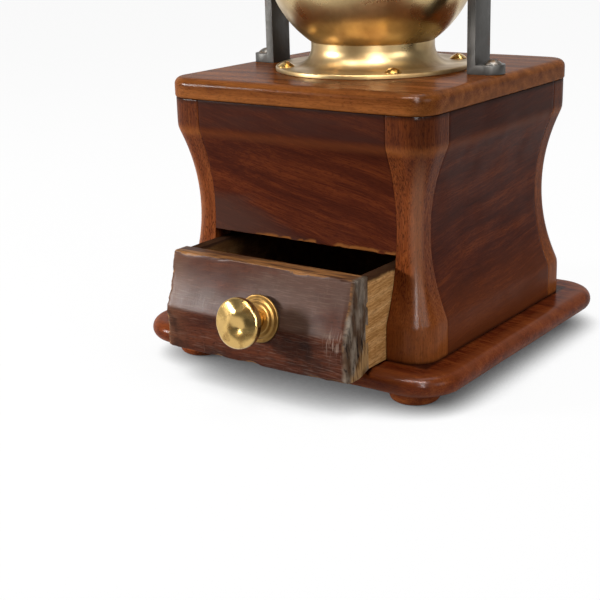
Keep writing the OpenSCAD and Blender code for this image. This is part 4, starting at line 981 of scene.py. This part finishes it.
relief = put("Math MULTIPLY_ADD", put("Math MULTIPLY", crack, end), -6.0, crossing)
relief = put("Math MULTIPLY_ADD", cloud, 2.0, relief)
polish(put, colour, relief, 0.44, 0.3, 0.30, 0.04)

drawer_front = block("drawer_front_moulded", lattice(front_low, front_high, (0.8, 1.1, 0.8), 0.5),
                     drawer_form, 0.5, drawer_wear, DRAWER_BITE)
lay_grain(drawer_front, "X", (480, 24, 38), tilt=3)
hand_over(drawer_front, "drawer", "drawer_front_wood", drawer_wood, "drawer_front")

# ---- Drawer box ----
# Thin unpolished boards: two sides tongued into the front, a back nailed between them, and a
# bottom that slides in grooves. The saw shows outside; inside they are stained by coffee and
# darkened further as painted shade.
box_wood, put = new_material("sawn_unfinished_hardwood")
colour, relief = wood_figure(put, ("#8a5f35", "#c4925a", "#ddb37c"), 2.6, 5.0, 0.2, 0.3, 0.4)
spot = put("TexCoord").outputs["Object"]
saw = along_noise(put, spot, (3.33, 4.17, 0.667), (0.55, 0, 0))
saw_dark = put("MapRange", saw, 0.35, 0.6, 0.55, 0.0)
side_low, side_high = span("drawer_right_side")
side_inside, bottom_top = side_low[0], span("drawer_bottom")[1][2]
x, _, z = put("SeparateXYZ", spot).outputs
grime = put("TexNoise", spot, Scale=every(6.25), Detail=4.0)
level_up = put("Math MULTIPLY_ADD", grime, 0.0025, z)
dirty = put("MapRange SMOOTHSTEP", level_up, (side_high[2] - 0.6) * MM,
            (side_high[2] + 0.9) * MM, 0, 0.95)
# Darker on the inner faces above the bottom: coffee stain and painted shade.
x_off = put("Math ABSOLUTE", x)
between = put("MapRange SMOOTHSTEP", x_off, (side_inside + 0.6) * MM, (side_inside + 0.2) * MM)
above = put("MapRange SMOOTHSTEP", z, (bottom_top - 0.5) * MM, (bottom_top - 0.2) * MM)
coffee_and_shade = put("Math MULTIPLY", between, above)
stain_and_shade_depth = put("MapRange", grime, 0.3, 0.7, 0.95, 0.7)
coffee_and_shade = put("Math MULTIPLY", coffee_and_shade, stain_and_shade_depth)
colour = coats(put, colour, (saw_dark, "#7c532c"), (coffee_and_shade, "#452a18"), (dirty, "#38231a"))
relief = put("Math MULTIPLY_ADD", saw, 1.5, relief)
polish(put, colour, relief, 0.62, 0.0, 0.3, 0.07)


def plain(places):
    """Sawn boards keep their shape but for a little unevenness."""
    return uneven(places, 0.06, 11.0)


for number, (node, along) in enumerate((("drawer_left_side", "Y"), ("drawer_right_side", "Y"),
                                        ("drawer_back", "X"), ("drawer_bottom", "X"))):
    low, high = span(node)
    board = block(node + "_board", lattice(low, high, [1.8] * 3, 0.35), plain, 0.35)
    lay_grain(board, along, (75 * number, 15, 30), tilt=4)
    hand_over(board, "drawer", "drawer_box_wood", box_wood, node)
back_low, back_high = span("drawer_back")
BRAD_LEVELS = (0.3, 0.55, 0.8)
brad_y = (back_low[1] + back_high[1]) / 2
brad_spots = [(x, brad_y, back_low[2] + f * (back_high[2] - back_low[2]))
              for x in (-side_high[0], side_high[0]) for f in BRAD_LEVELS]
drive("drawer_brads", brad_spots, [(-1, 0, 0)] * 3 + [(1, 0, 0)] * 3, "drawer", made="driven",
      Head_Radius=1.2, Head_Height=0.4, Dome=0.05, Underside_Radius=1.0, Shank_Radius=0.6,
      Length=13.6, Slot_Width=0.02, Slot_Depth=0.01, Thread_Depth=0.0, Seat_Above=False, Seed=5)

# ---- Drawer knob ----
# A brass knob on a stepped brass rosette, let into the crease a little and leaning with it. A
# hanger screw in the drawer front holds it, and its head has been dented by use.
FACETS = (((-0.23, 0.13, 0.964), 16.3), ((0.28, 0.02, 0.960), 16.35), ((0.05, 0.50, 0.865), 16.6))
DENTS = (((1.4, -1.0, 16.6), 4.2, 1.15), ((7.5, 4.0, 14.5), 4.5, 0.4),
         ((-7.5, -4.0, 14.5), 4.5, 0.4))
FORWARD = Matrix.Rotation(math.radians(90 - KNOB_LEAN), 4, "X")


def dense(line, step):
    """The same section line with its points no further apart than a step."""
    result = [np.array(line[0], float)]
    for a, b in zip(line, line[1:]):
        parts = max(1, math.ceil(math.dist(a, b) / step))
        result += [np.array(a) + (np.array(b) - np.array(a)) * k / parts
                   for k in range(1, parts + 1)]
    return result


def dented(points):
    """Beats soft flats into the knob's head, which leaves ridges between them, and small dents."""
    for normal, distance in FACETS:
        over = points @ np.array(normal) - distance
        points = points - np.outer(0.3 * np.log1p(np.exp(over / 0.3)), normal)
    for spot, width, depth in DENTS:
        away = np.linalg.norm(points - np.array(spot), axis=1)
        points = points - np.outer(depth * np.exp(-(away / width * 1.5) ** 2), (0, 0, 1))
    return points


def worn_brass(name, bright, brown, brown_from, smooth, dull, grain_mm=1.1):
    """Brass that hands keep bright and air turns brown in its hollows, with fine pits."""
    finish, put = new_material(name)
    spot = put("TexCoord").outputs["Object"]
    cloud = put("TexNoise", spot, Scale=every(4.76), Detail=5.0)
    tarnish = put("MapRange SMOOTHSTEP", cloud, brown_from, brown_from + 0.22, 0, 0.75)
    colour = put("Mix RGBA", tarnish, bright, brown)
    gloss = put("MapRange", cloud, 0.35, 0.7, smooth, dull)
    pits = put("TexNoise", spot, Scale=every(grain_mm), Detail=3.0)
    metal_skin(put, colour, gloss, pits, 0.06, 0.4)
    return finish


# Pale yellow brass, bright and smooth where hands rub it; browner and duller on the rosette,
# which only the wiping cloth reaches, and darker still there as painted shade from the knob.
brass = worn_brass("polished_worn_brass", "#cfab6a", "#7a5526", 0.50, 0.14, 0.30)
shaded_rosette_brass = worn_brass("tarnished_shaded_turned_brass", "#7b5e33", "#4a351c", 0.44, 0.34, 0.52)

knob_line = eased([
    (0, 0, 0), (3.5, 0, 0.1), (3.5, 4.8, 1.0), (4.3, 5.6, 0.5), (4.3, 6.6, 0.5), (3.8, 7.6, 0.6),
    (5.4, 9.6, 1.2), (KNOB_R, 10.3, 2.9), (KNOB_R, 15.5, 3.0), (0, KNOB_OUT, 0)])
knob = turned("drawer_knob_turned", dense(knob_line, 0.4), steps=160, place=knob_place,
              turn=FORWARD, form=dented)
hand_over(knob, "drawer", "brass", brass, "drawer_knob")
rosette = turned("knob_rosette_turned", eased([
    (3.52, 0, 0), (ROSETTE_R, 0, 0.2), (ROSETTE_R, 1.1, 0.5), (ROSETTE_R - 1.6, 1.1, 0.3),
    (ROSETTE_R - 2.2, 1.75, 0.4), (ROSETTE_R - 3.4, 1.75, 0.2), (ROSETTE_R - 3.8, ROSETTE_T, 0.4),
    (3.52, ROSETTE_T, 0.3)], closed=True), closed=True, steps=128, place=knob_place, turn=FORWARD)
hand_over(rosette, "drawer", "brass", shaded_rosette_brass, "knob_rosette")
GRIP, KNOB_BITE = 10.0, 5.0
drive("knob_screw", [tuple(knob_place + knob_axis * KNOB_BITE)], [tuple(knob_axis)], "drawer",
      Head_Radius=1.85, Head_Height=0.2, Dome=0.0, Underside_Radius=1.85, Length=GRIP + KNOB_BITE,
      Slot_Width=0.02, Slot_Depth=0.01, Pitch=1.3, Thread_Depth=0.25, Seat_Above=False, Seed=4)

# ---- Hopper ----
# An open bowl spun from thin brass sheet, with a bead rolled at its rim. It is soldered to a
# flared foot, and four round-headed brass screws hold the foot's flange to the top board.
BOWL_T, BEAD_R, NECK_WALL, FOOT_FILLET_R, FLANGE_T = 1.4, 1.3, 4.0, 7.0, 1.8


def arc(centre, radius, start, end, count):
    """Points of a section line along a circle, from one angle to another in degrees."""
    return [(centre[0] + radius * math.cos(a), centre[1] + radius * math.sin(a))
            for a in np.radians(np.linspace(start, end, count))]


def ring_spots(radius, z):
    """Four places round the axis, on its diagonals."""
    return [(x, y, z) for x, y in arc((0, 0), radius, 45, 315, 4)]


def spun(points):
    """The bowl is not quite true: it has been knocked a little out of round."""
    sway = np.array([noise.noise(Vector(p) / 26) for p in points])
    push = 0.35 * sway * np.clip(points[:, 2] / bowl_h, 0, 1) ** 2
    wide = np.maximum(np.linalg.norm(points[:, :2], axis=1), 1e-6)
    points = points.copy()
    points[:, :2] *= (1 + push / wide)[:, None]
    return points


# Spun brass: fine rings from the spinning tool, bright where it is wiped, and browner towards
# the foot and inside, where coffee oil has dried.
bowl_brass, put = new_material("spun_brass_sheet")
spot = put("TexCoord").outputs["Object"]
z = put("SeparateXYZ", spot).outputs[2]
cloud = put("TexNoise", spot, Scale=every(18.2), Detail=6.0)
low_down = put("MapRange", z, board_top * MM, (board_top + 30) * MM, 0.22, 0.0)
stain = put("Math", cloud, low_down)
brown = put("MapRange", stain, 0.5, 0.78, 0, 0.75)
colour = put("Mix RGBA", brown, "#c4ab7c", "#6f5230")
gloss = put("MapRange", stain, 0.4, 0.8, 0.22, 0.45)
rings = along_noise(put, spot, (167, 167, 0.385), detail=2.0, rough=0.5)
metal_skin(put, colour, gloss, rings, 0.05)

bowl_low, bowl_high = span("hopper_bowl")
bowl_h = bowl_high[2] - bowl_low[2]
bead_mid = bowl_high[0] - BEAD_R
neck_r, flange_r, inner_r = THROAT_R + NECK_WALL, 39.6, bead_mid - BOWL_T
bowl_line = [(THROAT_R, 0)] + arc(
    (0, bowl_h), inner_r, -math.degrees(math.acos(THROAT_R / inner_r)), -1.5, 44)
bowl_line += arc((bead_mid, bowl_h - BEAD_R), BEAD_R, 150, -82, 18)
bowl_line += arc((0, bowl_h), bead_mid, -4, -math.degrees(math.acos(neck_r / bead_mid)), 40)
bowl_line += arc((neck_r + FOOT_FILLET_R, FLANGE_T + FOOT_FILLET_R), FOOT_FILLET_R, 180, 270, 14)
bowl_line += arc((flange_r - 0.6, FLANGE_T - 0.6), 0.6, 90, 0, 5) + [(flange_r, 0.2),
                                                                   (flange_r - 0.2, 0)]
bowl = turned("hopper_bowl_spun", bowl_line, closed=True, steps=180, place=(0, 0, bowl_low[2]),
              form=spun)
bowl.data.set_sharp_from_angle(angle=math.radians(40))
hand_over(bowl, "case", "bowl_brass", bowl_brass, "hopper_bowl")
FLANGE_SCREW_R = 35.7
drive("hopper_screws", ring_spots(FLANGE_SCREW_R, board_top + FLANGE_T), [UP] * 4, "case", "brass",
      brass, Length=7.8, Seat_Above=True, Seed=8)

# ---- Bridge ----
# A strap of forged iron bent over the bowl, flat feet screwed to the board at each side. The hub
# in its middle holds a turned bronze bearing for the spindle.


def dress(node, made, soften, body, slot, finish, segments=2):
    """Stands a merged copy of a CAD solid in for it, its sharp edges rounded to a radius in mm."""
    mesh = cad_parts[node].data.copy()
    mesh.name = f"{node}_{made}"
    work = bmesh.new()
    work.from_mesh(mesh)
    bmesh.ops.remove_doubles(work, verts=work.verts, dist=1e-6)
    bmesh.ops.dissolve_limit(work, angle_limit=math.radians(1), verts=work.verts, edges=work.edges)
    work.to_mesh(mesh)
    piece = as_piece(mesh.name, mesh)
    bevel = piece.modifiers.new("soften", "BEVEL")
    bevel.width, bevel.segments = soften * MM, segments
    bevel.limit_method, bevel.angle_limit = "ANGLE", math.radians(30)
    bevel.harden_normals = True
    keep_plain(piece)
    hand_over(piece, body, slot, finish, node)


def iron(name, dark, rust, rust_from, rough, grain_mm, relief_mm):
    """Old iron: a dark skin with hammered or cast grain, and rust spreading from the hollows."""
    material, put = new_material(name)
    spot = put("TexCoord").outputs["Object"]
    cloud = put("TexNoise", spot, Scale=every(14.3), Detail=7.0, Roughness=0.62)
    grain = put("TexNoise", spot, Scale=every(grain_mm), Detail=4.0)
    rusty = put("MapRange", cloud, rust_from, rust_from + 0.16)
    colour = put("Mix RGBA", rusty, dark, rust)
    gloss = put("MapRange", cloud, 0.35, 0.7, rough, rough + 0.28)
    bare = put("MapRange", rusty, 0, 1, 0.85, 0.15)
    metal_skin(put, colour, gloss, grain, relief_mm, 0.7, bare)
    return material


# Black oxide from the forge, polished by handling to a dull grey sheen, rust-brown in patches.
black_iron = iron("forged_black_iron", "#4a4845", "#4d2f1f", 0.56, 0.34, 2.2, 0.12)
dress("bridge", "forged", 0.7, "case", "black_iron", black_iron, 3)
BRIDGE_SCREW_X, STRAP_T = 54.4, 3.6
drive("bridge_screws", [(x, 0, board_top + STRAP_T) for x in (-BRIDGE_SCREW_X, BRIDGE_SCREW_X)],
      [UP] * 2, Length=22, Seat_Above=True, Seed=9)

# Turned bronze, oily and brown, with fine tool rings.
bronze, put = new_material("oily_turned_bronze")
spot = put("TexCoord").outputs["Object"]
cloud = put("TexNoise", spot, Scale=every(3.85), Detail=4.0)
colour = put("Mix RGBA", cloud, "#c08a4a", "#6d4a26")
rings = along_noise(put, spot, (50, 50, 0.333), detail=2.0, rough=0.5)
metal_skin(put, colour, 0.27, rings, 0.04)
BEARING_R, BEARING_BORE_R, COLLAR_T = 6.0, 4.05, 1.2
low, high = span("top_bearing")
bearing_h = high[2] - low[2]
bearing = turned("top_bearing_turned", eased([
    (BEARING_BORE_R, 0, 0.2), (BEARING_R, 0, 0.15), (BEARING_R, bearing_h - COLLAR_T, 0),
    (high[0], bearing_h - COLLAR_T, 0.15), (high[0], bearing_h, 0.3),
    (BEARING_BORE_R, bearing_h, 0.3)], closed=True), closed=True, place=(0, 0, low[2]))
hand_over(bearing, "case", "bronze", bronze, "top_bearing")

# ---- Mill ----
# Under the top board hangs a cast-iron housing, screwed up into it. It holds the toothed steel
# ring, and the steel cone that turns inside the ring is pinned to the spindle.
# Rough sand-cast iron under a thin coat of coffee dust.
cast_iron = iron("sand_cast_iron", "#3a3836", "#4b3122", 0.52, 0.5, 1.1, 0.16)
dress("mill_housing", "cast", 0.5, "case", "cast_iron", cast_iron)
# Hardened and ground steel, brown where coffee has stained it.
burr_steel = iron("hardened_cut_steel", "#8b8782", "#57402d", 0.6, 0.26, 0.5, 0.02)
for node, made, soften, body in (
        ("burr_ring", "cut", 0.1, "case"), ("burr_cone", "cut", 0.1, "crank"),
        ("burr_pin", "drawn", 0.15, "crank"), ("spindle", "turned", 0.2, "crank")):
    dress(node, made, soften, body, "steel", burr_steel)
HOUSING_SCREW_R, HOUSING_FLANGE_T = 31.7, 4.0
drive("housing_screws", ring_spots(HOUSING_SCREW_R, board_low[2] - HOUSING_FLANGE_T), [DOWN] * 4,
      Length=10, Seat_Above=True, Seed=10)

# ---- Adjuster ----
# A bent iron yoke is bolted under the housing. A brass screw with a notched thumb wheel runs up
# through its boss against a steel ball, which carries the spindle and sets the burrs' gap. A
# wire spring keeps the wheel from shaking loose.
dress("lower_yoke", "forged", 0.5, "case", "black_iron", black_iron)
yoke_low, yoke_high = span("lower_yoke")
YOKE_SCREW_X, YOKE_T = 33.0, 4.0
drive("yoke_screws", [(x, 0, yoke_high[2] - YOKE_T) for x in (-YOKE_SCREW_X, YOKE_SCREW_X)],
      [DOWN] * 2, Length=9, Dome=0.15, Seat_Above=True, Pitch=1.0, Thread_Depth=0.2, Seed=11)
dress("adjusting_screw", "turned", 0.2, "adjuster", "brass", brass)
low, high = span("thrust_ball")
ball_r, ball_mid = (high[2] - low[2]) / 2, (high[2] + low[2]) / 2
ball = turned("thrust_ball_ground", arc((0, 0), ball_r, -90, 90, 33), steps=48,
              place=(0, 0, ball_mid))
hand_over(ball, "thrust", "steel", burr_steel, "thrust_ball")


def spring_tree():
    """Draws a coil of round wire with closed ground ends, standing on the origin."""
    group = bpy.data.node_groups.new("wire_spring", "GeometryNodeTree")
    put = into(group)
    face = group.interface
    face.new_socket("Places", in_out="INPUT", socket_type="NodeSocketGeometry")
    for name, value in (("Coil Radius", 4.4 * MM), ("Wire Radius", 0.4 * MM), ("Turns", 3.0),
                        ("Rise", 3.5 * MM)):
        face.new_socket(name, in_out="INPUT", socket_type="NodeSocketFloat").default_value = value
    face.new_socket("Finish", in_out="INPUT", socket_type="NodeSocketMaterial")
    face.new_socket("Spring", in_out="OUTPUT", socket_type="NodeSocketGeometry")
    size = put("NodeGroupInput").outputs
    coil = put("GeometryNodeCurveSpiral", Resolution=32, Rotations=size["Turns"],
               Start_Radius=size["Coil Radius"], End_Radius=size["Coil Radius"],
               Height=size["Rise"])
    wire = put("GeometryNodeCurvePrimitiveCircle", Resolution=12, Radius=size["Wire Radius"])
    coil = put("GeometryNodeCurveToMesh", coil, wire, Fill_Caps=True)
    points = put("GeometryNodeMeshToPoints", size["Places"])
    set_out = put("GeometryNodeInstanceOnPoints", Points=points, Instance=coil)
    real = put("GeometryNodeRealizeInstances", set_out)
    smooth = put("GeometryNodeSetShadeSmooth", real)
    made = put("GeometryNodeSetMaterial", smooth, Material=size["Finish"])
    put("NodeGroupOutput", made)
    return group


low, high = span("friction_spring")
WIRE_R = 0.4
spring = from_tree("friction_spring_coiled", spring_tree(), [(0, 0, low[2] + WIRE_R)], [UP],
                   burr_steel, {"Coil Radius": high[0] - WIRE_R,
                                "Rise": high[2] - low[2] - 2 * WIRE_R})
hand_over(spring, "case", "steel", burr_steel, "friction_spring")
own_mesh(spring)

# ---- Crank ----
# A forged iron arm with a square eye sits on the spindle's square end, under a brass cap nut and
# a bronze washer. It rises in a slow double bend to the boss under the handle.
dress("crank_arm", "forged", 0.7, "crank", "black_iron", black_iron, 3)
low, high = span("crank_washer")
WASHER_BORE_R = 2.85
washer = turned("crank_washer_turned", eased([
    (WASHER_BORE_R, 0, 0.15), (high[0], 0, 0.2), (high[0], high[2] - low[2], 0.3),
    (WASHER_BORE_R, high[2] - low[2], 0.15)], closed=True), closed=True, place=(0, 0, low[2]))
hand_over(washer, "crank", "bronze", bronze, "crank_washer")
dress("crank_nut", "turned", 0.35, "crank", "brass", brass, 3)

# ---- Handle ----
# A turned wooden knob, worn smooth, spins on a steel pin that is riveted at both ends. A short
# brass ferrule keeps its foot from splitting.
low, high = span("handle_pin")
handle_x, handle_y = (low[0] + high[0]) / 2, (low[1] + high[1]) / 2
PIN_R, RIVET_R, RIVET_T = 2.5, 4.2, 1.8
head_line = [(r, z) for r, z in arc((0, RIVET_T - 1.3 * RIVET_R), 1.3 * RIVET_R, 40, 90, 14)
             if r <= RIVET_R]
shaft_h = high[2] - low[2] - 2 * RIVET_T
line = [(r, -z) for r, z in reversed(head_line)] + [(RIVET_R, 0), (PIN_R, 0), (PIN_R, shaft_h),
                                                   (RIVET_R, shaft_h)]
line += [(r, z + shaft_h) for r, z in head_line]
rivet = turned("handle_pin_riveted", line, steps=64, place=(handle_x, handle_y, low[2] + RIVET_T))
rivet.data.set_sharp_from_angle(angle=math.radians(40))
hand_over(rivet, "crank", "steel", screw_steel, "handle_pin")

# Polished dark hardwood like the base.
handle_wood, put = new_material("hand_polished_turned_wood")
colour, relief = wood_figure(put, ("#3a1709", "#6d3518", "#96542a"), 2.2, 5.0)
polish(put, colour, relief, 0.30, 0.6, 0.1, 0.02)
low, high = span("handle_knob")
FERRULE_FOOT_R, HOLLOW_R, NECK_R, FERRULE_H = 8.2, 6.0, 6.4, 3.0
handle_h, belly_r, bore_r, recess_r = high[2] - low[2], (high[0] - low[0]) / 2, 2.55, 4.5
RECESS_H = 2.4
line = [(bore_r, 0.0), (FERRULE_FOOT_R - 0.2, 0.0), (FERRULE_FOOT_R, 0.2),
        (FERRULE_FOOT_R, FERRULE_H)]
line += arc((NECK_R + HOLLOW_R, FERRULE_H + 4.4), HOLLOW_R, 227, 148, 24)
line += arc((0, handle_h - belly_r + 0.5), belly_r, -57, 70, 52)
line += [(recess_r, handle_h - 0.3), (recess_r, handle_h - RECESS_H), (bore_r, handle_h - RECESS_H)]
knob = turned("handle_knob_turned", line, closed=True, steps=128,
              place=(handle_x, handle_y, low[2]))
knob.data.set_sharp_from_angle(angle=math.radians(40))
lay_grain(knob, "Z", (300, 14, 22))
hand_over(knob, "handle", "handle_wood", handle_wood, "handle_knob")
low, high = span("handle_ferrule")
ferrule_r, ferrule_h = (high[0] - low[0]) / 2, high[2] - low[2]
FERRULE_T = 0.8
ferrule = turned("handle_ferrule_turned", eased([
    (ferrule_r - FERRULE_T, 0, 0.1), (ferrule_r, 0, 0.3), (ferrule_r, ferrule_h, 0.35),
    (ferrule_r - FERRULE_T, ferrule_h, 0.1)], closed=True), closed=True, steps=128,
    place=(handle_x, handle_y, low[2]))
hand_over(ferrule, "handle", "brass", brass, "handle_ferrule")
